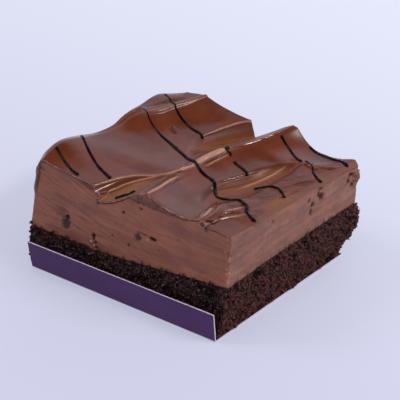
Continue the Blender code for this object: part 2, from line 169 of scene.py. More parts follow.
class Finish:
    # one node material, built by short calls, with places in millimetres
    def __init__(self, name):
        self.material = bpy.data.materials.new(name)
        self.material.use_nodes = True
        self.tree = self.material.node_tree
        self.shader = self.tree.nodes["Principled BSDF"]
        place = self.tree.nodes.new("ShaderNodeTexCoord").outputs["Object"]
        self.place = self.scaled(place, (1000.0, 1000.0, 1000.0))

    def join(self, value, socket):
        if isinstance(value, bpy.types.NodeSocket):
            self.tree.links.new(value, socket)
        else:
            socket.default_value = value

    def scaled(self, place, scale, turn=(0.0, 0.0, 0.0)):
        node = self.tree.nodes.new("ShaderNodeMapping")
        self.join(place, node.inputs["Vector"])
        node.inputs["Scale"].default_value = scale
        node.inputs["Rotation"].default_value = [math.radians(t) for t in turn]
        return node.outputs["Vector"]

    def mark(self, name):
        node = self.tree.nodes.new("ShaderNodeAttribute")
        node.attribute_name = name
        return node.outputs["Fac"]

    def split(self, place):
        node = self.tree.nodes.new("ShaderNodeSeparateXYZ")
        self.join(place, node.inputs["Vector"])
        return node.outputs["X"], node.outputs["Y"], node.outputs["Z"]

    def vector(self, x, y, z):
        node = self.tree.nodes.new("ShaderNodeCombineXYZ")
        for value, socket in zip((x, y, z), node.inputs):
            self.join(value, socket)
        return node.outputs["Vector"]

    def noise(self, place, scale, detail=3.0, roughness=0.55):
        node = self.tree.nodes.new("ShaderNodeTexNoise")
        self.join(place, node.inputs["Vector"])
        node.inputs["Scale"].default_value = scale
        node.inputs["Detail"].default_value = detail
        node.inputs["Roughness"].default_value = roughness
        return node.outputs["Fac"]

    def cells(self, place, scale):
        node = self.tree.nodes.new("ShaderNodeTexVoronoi")
        self.join(place, node.inputs["Vector"])
        node.inputs["Scale"].default_value = scale
        return node.outputs["Distance"]

    def math(self, operation, a, b=0.0):
        node = self.tree.nodes.new("ShaderNodeMath")
        node.operation = operation
        self.join(a, node.inputs[0])
        self.join(b, node.inputs[1])
        return node.outputs[0]

    def times(self, a, b):
        return self.math("MULTIPLY", a, b)

    def plus(self, a, b):
        return self.math("ADD", a, b)

    def between(self, value, low, high, newLow=0.0, newHigh=1.0):
        # smoothly from newLow to newHigh, as the value goes from low to high
        node = self.tree.nodes.new("ShaderNodeMapRange")
        node.interpolation_type = "SMOOTHSTEP"
        self.join(value, node.inputs["Value"])
        for key, number in (("From Min", low), ("From Max", high), ("To Min", newLow), ("To Max", newHigh)):
            node.inputs[key].default_value = number
        return node.outputs["Result"]

    def mix(self, share, a, b):
        node = self.tree.nodes.new("ShaderNodeMix")
        node.data_type = "RGBA"
        self.join(share, node.inputs["Factor"])
        for value, key in ((a, 6), (b, 7)):
            self.join((*value, 1.0) if isinstance(value, tuple) else value, node.inputs[key])
        return node.outputs[2]

    def bump(self, height, depth, below=None):
        node = self.tree.nodes.new("ShaderNodeBump")
        node.inputs["Strength"].default_value = 1.0
        node.inputs["Distance"].default_value = depth * mm
        self.join(height, node.inputs["Height"])
        if below is not None:
            self.join(below, node.inputs["Normal"])
        return node.outputs["Normal"]

    def set(self, **values):
        for key, value in values.items():
            socket = self.shader.inputs[key.replace("_", " ")]
            self.join((*value, 1.0) if isinstance(value, tuple) else value, socket)
        return self.material


# Icing
icingLook = {
    # the lines that the palette knife left, each from the front to the back as (depth y, across x,
    # height z). Between them the surface is swept, so these lines are the waves.
    "lines": {
        "leftEdge": (
            (-36.5, -41.2, 37.2), (-33.0, -41.2, 40.6), (-28.8, -41.2, 42.2), (-24.5, -41.2, 42.8),
            (-19.7, -41.2, 42.2), (-12.5, -41.2, 40.4), (-7.0, -41.2, 38.9), (-1.9, -41.2, 37.9),
            (5.5, -41.2, 37.6), (10.0, -41.2, 38.8), (15.8, -41.2, 39.7), (21.0, -41.2, 39.7),
            (28.2, -41.2, 40.4), (33.0, -41.2, 40.0), (39.5, -41.2, 37.6),
        ),
        "leftRim": (
            (-36.5, -38.4, 41.3), (-31.0, -38.2, 42.8), (-25.5, -38.0, 43.6), (-18.0, -37.6, 42.4),
            (-11.0, -37.3, 40.4), (-3.0, -36.8, 39.0), (5.0, -36.3, 38.9), (11.0, -35.6, 40.2),
            (15.5, -33.2, 41.2), (20.0, -30.8, 41.4), (25.5, -29.2, 41.5), (32.5, -26.7, 41.6),
            (39.5, -24.8, 41.7),
        ),
        "firstLip": (
            (-36.5, -15.6, 39.1), (-32.3, -14.3, 38.8), (-28.2, -12.8, 38.8), (-25.1, -11.3, 38.8),
            (-22.4, -9.1, 38.8), (-20.2, -6.5, 38.8), (-18.2, -4.1, 38.8), (-15.4, -1.7, 39.1),
            (-12.0, 0.1, 39.4), (-8.0, -0.7, 39.0), (-2.0, -5.2, 38.1), (8.0, -10.0, 37.2),
            (17.0, -12.2, 36.8), (23.6, -11.4, 36.9), (30.8, -9.2, 37.3), (35.6, -6.4, 37.8),
            (39.5, -4.4, 38.0),
        ),
        "firstRoll": (
            (-36.5, -13.9, 35.8), (-33.1, -12.3, 36.1), (-30.0, -11.2, 36.5), (-27.0, -9.7, 37.0),
            (-24.2, -8.3, 37.4), (-21.5, -6.4, 37.9), (-19.2, -4.3, 38.3), (-17.0, -2.4, 38.7),
            (-14.5, -0.7, 39.2), (-12.0, 0.6, 39.4), (-8.0, 0.0, 39.0), (-2.0, -4.4, 38.1),
            (8.0, -9.2, 37.0), (17.0, -11.1, 35.6), (27.0, -9.3, 34.9), (39.5, -3.5, 34.7),
        ),
        "firstFoot": (
            (-36.5, -14.8, 32.8), (-33.0, -12.5, 34.1), (-30.0, -10.8, 35.0), (-27.0, -9.0, 35.9),
            (-24.0, -7.1, 36.7), (-21.5, -5.3, 37.3), (-19.0, -3.1, 37.9), (-17.0, -1.5, 38.4),
            (-14.5, 0.1, 39.0), (-12.0, 1.0, 39.4), (-8.0, 0.4, 39.0), (-2.0, -3.8, 38.1),
            (8.0, -8.4, 36.7), (17.0, -9.8, 34.0), (27.0, -7.8, 32.4), (39.5, -2.7, 31.6),
        ),
        "firstWall": (
            (-36.5, -2.9, 38.0), (-30.0, -2.2, 38.5), (-24.0, -1.2, 39.1), (-19.0, -0.1, 39.5),
            (-15.0, 0.9, 39.6), (-12.0, 1.4, 39.5), (-8.0, 1.0, 39.1), (-2.0, -2.2, 38.3),
            (8.0, -3.6, 37.7), (17.0, -2.6, 36.4), (27.0, 0.6, 35.9), (39.5, 5.6, 36.0),
        ),
        "middleCrest": (
            (-36.5, 5.0, 42.7), (-30.6, 3.7, 41.9), (-26.5, 2.8, 41.3), (-21.5, 2.0, 40.7),
            (-17.0, 1.8, 40.1), (-12.0, 2.0, 39.8), (-6.0, 1.8, 39.4), (0.0, 1.2, 38.9),
            (5.0, 2.2, 39.0), (11.0, 3.2, 39.3), (14.2, 3.9, 39.2), (19.8, 6.2, 39.2), (24.9, 8.2, 39.5),
            (33.0, 11.0, 40.4), (39.5, 13.2, 41.4),
        ),
        "rope": (
            (-36.5, 7.4, 43.1), (-31.8, 6.9, 42.5), (-28.7, 6.6, 42.1), (-25.4, 6.1, 41.6),
            (-21.4, 5.1, 41.0), (-18.9, 4.6, 40.6), (-15.2, 3.9, 40.0), (-11.0, 3.2, 39.6),
            (-6.0, 2.8, 39.3), (0.0, 2.4, 38.8), (5.0, 3.6, 38.9), (11.0, 4.8, 39.3), (19.8, 7.6, 39.2),
            (24.9, 9.8, 39.5), (33.0, 13.0, 40.5), (39.5, 15.6, 41.6),
        ),
        "secondLip": (
            (-36.5, 16.5, 40.3), (-28.0, 15.8, 38.4), (-20.0, 14.8, 37.7), (-12.0, 13.4, 37.2),
            (-5.8, 13.6, 36.9), (-0.3, 15.0, 36.8), (4.9, 16.7, 36.7), (9.8, 17.4, 36.6),
            (14.0, 18.8, 36.6), (18.5, 21.2, 36.6), (22.5, 25.6, 37.2), (27.0, 28.4, 36.6),
            (33.0, 28.4, 35.4), (39.5, 26.8, 34.5),
        ),
        "secondFoot": (
            (-36.5, 22.6, 39.8), (-28.0, 21.5, 38.4), (-20.0, 18.6, 37.2), (-12.0, 16.6, 35.8),
            (-5.0, 17.2, 34.8), (5.0, 19.6, 34.2), (14.0, 22.4, 34.4), (19.0, 25.2, 35.6),
            (22.5, 27.4, 37.0), (27.0, 30.2, 36.6), (33.0, 31.6, 35.4), (39.5, 30.6, 34.4),
        ),
        "rightCrest": (
            (-36.5, 30.4, 41.8), (-33.0, 30.6, 41.3), (-29.0, 30.0, 41.1), (-26.0, 28.9, 40.9),
            (-23.6, 27.9, 40.5), (-21.0, 27.4, 39.9), (-18.0, 28.0, 39.3), (-13.8, 28.8, 38.7),
            (-9.0, 29.6, 38.2), (-4.0, 30.1, 37.9), (2.0, 30.4, 37.7), (9.0, 30.6, 37.7),
            (16.0, 30.4, 37.7), (22.5, 30.4, 38.2), (26.0, 33.6, 37.6), (31.0, 36.0, 36.8),
            (39.5, 38.0, 36.0),
        ),
        "rightFoot": (
            (-36.5, 33.6, 39.3), (-31.0, 32.0, 39.1), (-27.4, 34.2, 38.8), (-23.8, 36.3, 38.6),
            (-20.0, 37.4, 38.4), (-14.0, 37.6, 38.2), (-4.0, 37.8, 37.6), (5.0, 38.4, 37.2),
            (14.0, 38.6, 36.9), (24.0, 38.9, 36.6), (31.0, 39.6, 36.6), (39.5, 40.4, 36.6),
        ),
        "rightEdge": (
            (-36.5, 41.8, 38.7), (-30.9, 41.8, 38.2), (-25.0, 41.8, 37.8), (-19.0, 41.8, 37.8),
            (-13.4, 41.8, 38.0), (-7.5, 41.8, 37.9), (-2.0, 41.8, 37.6), (6.0, 41.8, 37.5),
            (12.0, 41.8, 37.4), (18.0, 41.8, 36.4), (28.0, 41.8, 36.0), (33.0, 41.8, 35.6),
            (39.5, 41.8, 34.9),
        ),
    },
    # from each line to the next: the strips, how steeply the icing leaves the one and meets the other
    # (1 is straight), and how far it sags below that at the front, in the middle and at the back
    "sweeps": (
        ("leftEdge", 13, 1.6, 0.0, (0.0, 0.0, 0.0)),
        ("leftRim", 72, 2.1, 0.0, (-0.1, 0.7, -0.3)),
        ("firstLip", 10, 1.5, 0.5, (0.0, 0.0, 0.0)),
        ("firstRoll", 7, 0.4, 1.2, (0.0, 0.0, 0.0)),
        ("firstFoot", 34, 0.5, 1.4, (0.2, 0.1, 0.0)),
        ("firstWall", 22, 1.5, 0.6, (0.0, 0.0, 0.0)),
        ("middleCrest", 10, 0.6, 0.4, (0.0, 0.15, 0.1)),
        ("rope", 34, 1.9, 0.1, (-0.4, 0.5, 0.3)),
        ("secondLip", 13, 0.9, 0.3, (0.0, 0.2, 0.0)),
        ("secondFoot", 32, 0.2, 1.5, (0.2, 0.2, 0.0)),
        ("rightCrest", 16, 1.2, 0.9, (0.0, 0.0, 0.0)),
        ("rightFoot", 20, 0.4, 0.8, (0.0, 0.0, 0.0)),
        ("rightEdge", 0, 0.0, 0.0, (0.0, 0.0, 0.0)),
    ),
    # smaller marks of the knife, each with how far it reaches to the left and the right of its way, and
    # its places as (x, y, height). A groove has a height below 0.
    "marks": {
        "lipEdge": (1.3, 0.7, (
            (-15.6, -36.5, 0.2), (-12.8, -28.2, 0.3), (-9.1, -22.4, 0.3), (-4.2, -18.4, 0.25),
            (-1.7, -15.6, 0.0),
        )),
        "rollEdge": (0.7, 0.9, (
            (-13.7, -36.5, 0.3), (-11.2, -30.0, 0.35), (-8.3, -24.2, 0.35), (-4.3, -19.2, 0.3),
            (-1.8, -16.4, 0.0),
        )),
        "firstCrease": (0.7, 1.0, (
            (4.8, -35.4, 0.0), (3.9, -31.6, -0.35), (2.8, -26.5, -0.5), (1.9, -21.5, -0.5),
            (1.6, -17.2, -0.45), (2.8, -14.2, 0.0),
        )),
        "ropeEdge": (2.2, 0.7, (
            (7.4, -36.5, 0.35), (6.6, -28.7, 0.5), (5.1, -21.4, 0.5), (4.5, -18.0, 0.35),
            (3.7, -14.5, 0.0),
        )),
        "secondCrease": (0.5, 1.2, (
            (8.6, -33.0, 0.0), (6.9, -26.0, -0.25), (5.4, -20.7, -0.4), (5.0, -17.3, -0.4),
            (4.8, -13.5, -0.3), (3.9, -8.2, 0.0),
        )),
        "mergedRidge": (0.9, 1.7, (
            (-2.9, -17.0, 0.0), (-0.3, -14.2, 0.35), (1.5, -10.9, 0.55), (2.1, -6.4, 0.5),
            (2.0, -2.4, 0.0),
        )),
        "wedge": (4.6, 1.0, ((2.2, -1.4, 0.3), (2.6, 4.0, 0.8), (3.9, 10.2, 0.9), (4.4, 13.4, 0.2))),
        "wedgeGroove": (0.6, 0.6, (
            (2.9, -2.0, 0.0), (3.4, 2.4, -0.4), (4.6, 8.0, -0.4), (5.2, 12.0, 0.0),
        )),
        "wedgeLine": (0.5, 0.6, ((4.4, -1.4, 0.0), (4.7, 2.0, 0.35), (5.6, 8.6, 0.35), (6.2, 11.0, 0.0))),
        "wedgeBack": (0.5, 0.8, (
            (-5.4, 10.6, 0.0), (-3.6, 13.4, -0.5), (-0.8, 16.6, -0.4), (2.6, 19.6, 0.0),
        )),
        "crestBack": (1.2, 0.7, (
            (4.3, 14.2, 0.0), (6.8, 19.8, 0.4), (8.8, 24.9, 0.4), (11.8, 33.1, 0.4), (14.0, 39.5, 0.3),
        )),
        "backLip": (1.2, 0.6, (
            (-12.4, 19.0, 0.0), (-11.4, 23.6, 0.3), (-9.2, 30.8, 0.4), (-4.4, 39.5, 0.4),
        )),
        "backGroove": (0.7, 0.9, (
            (-9.4, 17.0, 0.0), (-8.2, 24.0, -0.3), (-5.6, 31.0, -0.4), (-0.6, 39.5, -0.4),
        )),
        "backFloorLine": (0.5, 0.8, ((-6.4, 18.0, 0.0), (-4.2, 26.0, 0.25), (1.8, 39.5, 0.35))),
        "secondStepLine": (0.6, 0.6, (
            (13.6, -6.6, 0.0), (14.6, -2.6, -0.3), (16.4, 3.4, -0.35), (17.6, 8.0, -0.2),
            (18.6, 12.0, 0.0),
        )),
        "secondStepEdge": (0.7, 0.6, (
            (14.0, -9.0, 0.0), (15.0, -3.2, 0.35), (16.8, 2.6, 0.4), (18.0, 7.0, 0.25),
            (19.4, 13.0, 0.0),
        )),
        "secondDarkBand": (0.8, 1.3, (
            (14.2, -12.0, 0.0), (15.6, -5.3, -0.35), (17.8, 1.8, -0.3), (19.2, 7.5, -0.25),
            (21.2, 13.0, -0.15), (24.2, 18.0, 0.0),
        )),
        "valleyRidge": (2.4, 0.9, (
            (19.4, -4.0, 0.0), (20.8, 3.0, 0.3), (22.2, 11.1, 0.4), (23.1, 16.0, 0.4), (24.4, 21.0, 0.0),
        )),
        "valleyGroove": (0.6, 1.2, (
            (21.6, 2.0, 0.0), (23.0, 9.0, -0.3), (24.2, 14.0, -0.3), (26.4, 20.0, 0.0),
        )),
        "valleyFoldRight": (1.0, 0.8, (
            (24.0, 6.0, 0.0), (25.6, 12.0, 0.3), (27.2, 17.0, 0.35), (29.0, 21.6, 0.1),
        )),
        "valleyLowBand": (0.8, 1.2, (
            (18.8, -13.4, 0.0), (20.9, -10.9, -0.35), (23.2, -6.8, -0.35), (24.8, -2.0, -0.2),
            (26.0, 3.0, 0.0),
        )),
        "hollowBeforeValley": (2.2, 1.6, (
            (18.0, -21.0, 0.0), (15.6, -16.0, -0.5), (14.6, -11.0, -0.5), (14.0, -7.0, 0.0),
        )),
        "lobe": (3.0, 2.6, (
            (29.3, -36.5, 0.2), (28.5, -33.0, 0.4), (27.4, -29.4, 0.5), (26.4, -26.6, 0.4),
        )),
        "lobeEdge": (1.2, 0.6, (
            (30.9, -36.2, 0.2), (30.5, -31.8, 0.4), (29.6, -27.4, 0.4), (27.9, -24.4, 0.3),
            (25.4, -24.4, 0.2), (23.9, -26.4, 0.0),
        )),
        "lobeSide": (0.7, 0.9, (
            (24.2, -26.8, 0.1), (25.2, -29.6, 0.3), (26.6, -32.4, 0.3), (28.2, -35.4, 0.1),
        )),
        "crestStreak": (0.7, 0.9, (
            (29.4, -24.6, 0.0), (30.2, -21.2, -0.35), (31.0, -17.4, -0.3), (31.8, -12.0, 0.0),
        )),
        "crestShine": (0.8, 0.5, (
            (31.0, -27.2, 0.0), (31.7, -23.4, 0.35), (32.6, -19.6, 0.4), (33.6, -15.0, 0.0),
        )),
        "crestCut": (0.5, 0.6, (
            (31.0, -29.4, 0.0), (32.6, -25.2, -0.45), (34.2, -21.6, -0.45), (35.8, -17.0, 0.0),
        )),
        "footLine": (0.6, 0.4, (
            (31.4, -32.6, 0.0), (33.0, -28.2, 0.3), (35.4, -23.8, 0.3), (37.4, -18.6, 0.0),
        )),
        "underLobe": (0.9, 1.1, (
            (31.8, -36.5, -1.2), (32.0, -34.6, -0.9), (32.2, -32.0, -0.2), (33.2, -30.0, 0.0),
        )),
        "backCrest": (2.0, 0.8, (
            (-35.2, 11.4, 0.0), (-32.8, 16.2, 0.4), (-30.6, 20.0, 0.5), (-29.2, 25.4, 0.5),
            (-26.7, 32.5, 0.5), (-24.8, 39.5, 0.5),
        )),
        "backFacet": (1.4, 1.4, (
            (-37.4, 18.4, 0.0), (-34.6, 24.0, -0.4), (-31.8, 29.6, -0.5), (-29.0, 34.0, 0.0),
        )),
        "backKnob": (1.1, 1.1, ((-33.2, 39.5, 0.4), (-32.8, 37.6, 0.2), (-32.4, 35.6, 0.0))),
        "cornerRidge": (1.0, 0.9, (
            (26.6, 16.6, 0.0), (27.6, 19.6, 0.4), (28.8, 22.4, 0.5), (30.6, 23.2, 0.45),
            (33.4, 22.8, 0.4), (34.4, 24.6, 0.4), (33.6, 28.0, 0.0),
        )),
        "cornerFold": (0.8, 0.9, (
            (34.0, 25.0, 0.0), (36.2, 26.8, 0.4), (38.2, 28.6, 0.4), (39.0, 32.0, 0.0),
        )),
        "cornerDip": (0.9, 0.9, (
            (34.6, 30.0, 0.0), (35.6, 32.6, -0.5), (37.2, 35.6, -0.3), (38.0, 38.0, 0.0),
        )),
        "sideCut": (0.7, 0.9, (
            (36.4, -8.0, 0.0), (37.4, -2.0, -0.3), (38.2, 4.0, -0.35), (39.4, 9.0, 0.0),
        )),
        "sideRidge": (0.9, 0.7, (
            (33.4, 2.0, 0.0), (34.6, 8.0, 0.3), (36.6, 13.0, 0.35), (39.6, 18.0, 0.1),
        )),
        "leftFold": (0.9, 0.7, (
            (-40.2, -8.0, 0.0), (-39.6, 0.0, 0.35), (-39.2, 7.0, 0.5), (-38.4, 13.0, 0.4),
            (-36.0, 18.0, 0.0),
        )),
        "leftLumps": (0.9, 0.9, (
            (-40.6, 10.0, 0.2), (-39.8, 13.0, 0.6), (-39.4, 15.0, 0.2), (-38.6, 17.0, 0.6),
            (-37.6, 19.4, 0.0),
        )),
    },
    # marks with painted highlights along their edges, each with how far the painted highlight reaches to
    # the left and the right
    "paintedHighlightEdges": {
        "lipEdge": (0.5, 0.5), "rollEdge": (0.5, 0.5), "wedge": (3.4, 0.8), "wedgeLine": (0.5, 0.5),
        "footLine": (0.5, 0.5), "crestShine": (0.5, 0.5), "valleyRidge": (0.5, 0.5),
        "backLip": (0.4, 0.4), "ropeEdge": (0.6, 0.5), "lobe": (1.6, 1.2), "mergedRidge": (1.5, 1.1),
    },
    # how far the icing hangs over the front cut at some places x, and how far it stands out there
    "droops": (
        (-41.2, 13.0, 0.3), (-40.4, 11.0, 0.36), (-40.0, 8.0, 0.36), (-39.6, 2.0, 0.25),
        (-38.0, 1.4, 0.22), (-34.0, 0.9, 0.14), (-28.0, 0.8, 0.1), (-20.0, 0.8, 0.1), (-17.6, 1.0, 0.2),
        (-16.2, 1.6, 0.3), (-14.4, 1.3, 0.3), (-12.5, 0.7, 0.12), (-8.0, 0.6, 0.1), (-1.5, 0.8, 0.12),
        (0.0, 1.6, 0.25), (1.5, 3.0, 0.42), (3.5, 4.4, 0.52), (5.5, 5.1, 0.6), (7.4, 5.4, 0.65),
        (9.3, 4.6, 0.7), (12.6, 3.3, 0.7), (16.8, 2.1, 0.6), (20.2, 1.7, 0.55), (22.6, 1.7, 0.5),
        (24.6, 1.1, 0.3), (26.6, 1.0, 0.15), (28.4, 1.6, 0.35), (29.4, 2.6, 0.5), (31.2, 3.0, 0.6),
        (32.6, 2.0, 0.4), (33.8, 0.9, 0.15), (36.0, 0.8, 0.12), (41.8, 0.8, 0.12),
    ),
    "droopRaggedness": 0.14,
    # curled ends of the folds at the front cut: x, z, radius, turns and thickness
    "curls": (
        (-13.6, 35.6, 1.3, 1.8, 0.34),
        (30.9, 39.7, 1.6, 1.5, 0.36),
    ),
    "curlSteps": 50,
    "curlSides": 8,
    "curlTightens": 0.72,  # share of the radius that is lost to the end
    "curlThins": 0.3,  # share of the thickness that is lost to the end
    "sides": (-41.2, 41.8, -36.5, 39.5),  # left, right, front and back of its top face
    "rows": 246,
    "frontRows": 0.3,  # share by which the rows crowd to the front
    "thickness": 1.1,
    "sagSettles": 18.0,  # how far in from the front and the back the sag of the middle is reached
    "bowl": (0.6, -26.0, -6.0, 28.0, 39.0),  # extra depth beside the left rim, and where it comes and goes
    "steeperBack": 0.25,  # how much more steeply the left rim is left near the back
    # painted reflection: where a valley is deep, it is painted golden
    "paintedGoldDepth": 2.2,  # depth of a valley at which it is wholly golden
    "rounding": 5,  # passes that round off the crests and lips
    "unevenness": 0.05,
    "streaks": 0.022,
    "markHeight": 1.5,  # times the heights of the marks
    "rollDepth": 0.6,  # how hollow the wall below the first lip is at the front
    "skirtSteps": 12,
    "drawnIn": 0.12,  # how far the edge's lower end is drawn in
    # painted highlight: the pale rim is a painted highlight along the top of the edge
    "rimPlace": 0.28,  # how far below the top face the middle of the pale rim runs
    "skirtUnevenness": (0.14, 0.42),  # of the edge over the cut sides, and of the coat on the left
    "coatDepth": 13.5,  # how far the icing runs down the left side
    "coatBulge": 0.55,
    "backEdge": (1.2, 1.2, 0.1, 0.3),  # its depth, how much deeper it gets, and the same of its bulge
    "rightEdge": (1.15, 0.10),  # its depth and bulge
    "edgeLeans": {"front": 0.02, "right": -0.045, "back": 0.02, "left": 0.085},  # outward, per mm down
    "smudge": (-22.4, 17.2, 64.0, 1.1, 2.6),  # x, y, turn and half sizes of a smear of crumbs
    "roughness": (0.14, 0.22),
    # how much rougher the icing is in some places
    "duller": {
        "edge": (0.26, 0.42),  # over the front, left and back cuts
        "paintedGoldShare": 0.80,  # in the valleys under the two lips
        "back": 0.18,
        "backValley": 0.42,
        "rubbed": 0.4,  # where mousse is rubbed over it
        "smeared": 0.35,  # over the right cut
    },
    "streakRelief": 0.018,
    "dragRelief": 0.7,
    # in pairs, the darker and the lighter colour of a mottled one
    "colors": {
        "milk": ((0.088, 0.0168, 0.0043), (0.129, 0.029, 0.0095)),
        # painted reflection: the golden colours stand for the warm light mirrored in the valleys
        "paintedGold": ((0.150, 0.049, 0.017), (0.30, 0.124, 0.052)),
        "paintedRedGold": ((0.150, 0.042, 0.011), (0.28, 0.095, 0.026)),
        # painted shade in the grooves and painted light on the ridges of the knife marks
        "paintedGrooveShade": (0.040, 0.008, 0.003),
        "paintedRidgeLight": (0.26, 0.098, 0.054),
        # painted highlights along the lips, ridges and facets
        "paintedHighlightEdges": (0.50, 0.27, 0.165),
        "skirt": ((0.048, 0.010, 0.006), (0.160, 0.050, 0.028)),
        # painted highlight along the rim of the front and left edges
        "rim": (0.46, 0.235, 0.185),
        "smudge": (0.030, 0.006, 0.003),
        "rightSkirt": (0.215, 0.080, 0.043),
        # painted shade in the streaks dragged on the right slope
        "dragged": (0.062, 0.0125, 0.0045),
        "rubbed": (0.235, 0.080, 0.021),
        "spread": (0.170, 0.066, 0.040),
    },
}


def lineAt(line, y):
    # x and z of a knife line at each depth in y, on a Catmull-Rom curve through its keys
    keys = np.array(line)
    k = np.clip(np.searchsorted(keys[:, 0], y, side="right") - 1, 0, len(keys) - 2)
    before, start, end, after = (keys[np.clip(k + j, 0, len(keys) - 1)] for j in (-1, 0, 1, 2))
    span = (end - start)[:, :1]
    t = np.clip((y[:, None] - start[:, :1]) / span, 0, 1)
    leave = span * (end - before)[:, 1:] / (end - before)[:, :1]
    arrive = span * (after - start)[:, 1:] / (after - start)[:, :1]
    return (
        (2 * t**3 - 3 * t**2 + 1) * start[:, 1:]
        + (t**3 - 2 * t**2 + t) * leave
        + (3 * t**2 - 2 * t**3) * end[:, 1:]
        + (t**3 - t**2) * arrive
    )


def curveThrough(keys, piecesPerSpan):
    # a Catmull-Rom curve through the keys
    keys = np.array([keys[0], *keys, keys[-1]])
    t = (np.arange(piecesPerSpan) / piecesPerSpan)[:, None]
    spans = []
    for a, b, c, d in zip(keys, keys[1:], keys[2:], keys[3:]):
        bend = 2 * a - 5 * b + 4 * c - d
        twist = 3 * b - a - 3 * c + d
        spans.append(0.5 * (2 * b + (c - a) * t + bend * t**2 + twist * t**3))
    return np.concatenate([*spans, keys[-1:]])


def sweepIcing(y, look):
    # the upper face as rows from the front to the back, of points from left to right, and how golden it is
    fromFront = smoothstep((y - look["sides"][2]) / look["sagSettles"])
    toBack = smoothstep((y - look["sides"][3] + look["sagSettles"]) / look["sagSettles"])
    rollFades = look["rollDepth"] * (1 - smoothstep((y + 32) / 12))
    # painted reflection: the valleys under the two lips are painted golden where they are deep, as the warm
    # light that they mirror
    lines = look["lines"]
    valleyPaintedGold = {}
    for lip, foot in (("firstLip", "firstFoot"), ("secondLip", "secondFoot")):
        depth = (lineAt(lines[lip], y) - lineAt(lines[foot], y))[:, 1]
        valleyPaintedGold[foot] = smoothstep(depth / look["paintedGoldDepth"])
    valleyPaintedGold["firstFoot"] = valleyPaintedGold["firstFoot"] * (1 - 0.35 * smoothstep((y - 4) / 12))
    valleyPaintedGold["secondFoot"] = valleyPaintedGold["secondFoot"] * 0.75
    valleyPaintedGold["firstWall"] = valleyPaintedGold["firstFoot"] * 0.75
    bowlDepth, bowlStarts, bowlFull, bowlFades, bowlEnds = look["bowl"]
    inBowl = smoothstep((y - bowlStarts) / (bowlFull - bowlStarts))
    inBowl = inBowl * (1 - smoothstep((y - bowlFades) / (bowlEnds - bowlFades)))
    columns, paintedGoldShare = [], []
    for (name, strips, leave, meet, sags), (nextName, *_) in zip(look["sweeps"], look["sweeps"][1:]):
        (x0, z0), (x1, z1) = lineAt(lines[name], y).T, lineAt(lines[nextName], y).T
        sag = sags[0] + (sags[1] - sags[0]) * fromFront
        sag = sag + (sags[2] - sag) * toBack
        gold0, gold1 = (valleyPaintedGold.get(lineName, 0 * y) for lineName in (name, nextName))
        for t in np.arange(strips) / strips:
            hollow = np.zeros_like(y)
            steeper, deeper = 0.0, 0.0
            if name == "firstLip":
                hollow = -rollFades * math.sin(math.pi * t)
            if name == "leftRim":
                steeper = look["steeperBack"] * smoothstep(y / 16)
                deeper = bowlDepth * inBowl * 6.75 * t * (1 - t) ** 2
            share = (t**3 - 2 * t**2 + t) * (leave + steeper) + 3 * t**2 - 2 * t**3 + (t**3 - t**2) * meet
            x = x0 + (x1 - x0) * t + hollow
            z = z0 + (z1 - z0) * share - sag * math.sin(math.pi * t) - deeper
            columns.append(np.stack([x, y, z], axis=1))
            paintedGoldShare.append(gold0 + (gold1 - gold0) * t)
    x, z = lineAt(lines["rightEdge"], y).T
    columns.append(np.stack([x, y, z], axis=1))
    paintedGoldShare.append(0 * y)
    face = np.stack(columns, axis=1)
    for _ in range(look["rounding"]):
        face[:, 1:-1] = (face[:, :-2] + 2 * face[:, 1:-1] + face[:, 2:]) / 4
    return face, np.stack(paintedGoldShare, axis=1)


def faceNormals(face):
    alongX = np.gradient(face, axis=1)
    alongY = np.gradient(face, axis=0)
    normals = np.cross(alongX, alongY)
    return normals / np.linalg.norm(normals, axis=2, keepdims=True)


def heightOn(face, x, y):
    # the height of a swept face at one place
    row = np.searchsorted(face[:, 0, 1], y) - 1
    row = min(max(row, 0), len(face) - 2)
    start, end = face[row, 0, 1], face[row + 1, 0, 1]
    low, high = (np.interp(x, r[:, 0], r[:, 2]) for r in (face[row], face[row + 1]))
    return low + (high - low) * min(max((y - start) / (end - start), 0.0), 1.0)


def markRelief(face, leftReach, rightReach, places):
    # how far one mark of the knife lifts or lowers each point of the face
    way = curveThrough(places, 24)
    spots = np.array([(x, y, heightOn(face, x, y)) for x, y, _ in way])
    ahead = np.gradient(spots, axis=0)
    reach = max(leftReach, rightReach)
    flat = face.reshape(-1, 3)
    near = np.all((flat > spots.min(axis=0) - reach) & (flat < spots.max(axis=0) + reach), axis=1)
    index = np.flatnonzero(near)
    relief = np.zeros(len(flat))
    if len(index):
        offset = flat[index, None] - spots[None]
        distance = np.linalg.norm(offset, axis=2)
        nearest = distance.argmin(axis=1)
        rows = np.arange(len(index))
        away = offset[rows, nearest]
        onRight = away[:, 0] * ahead[nearest, 1] - away[:, 1] * ahead[nearest, 0] > 0
        share = np.clip(1 - distance[rows, nearest] / np.where(onRight, rightReach, leftReach), 0, 1)
        relief[index] = way[nearest, 2] * share**1.6 * (1 + 0.3 * (1 - share))
    return relief.reshape(face.shape[:2])


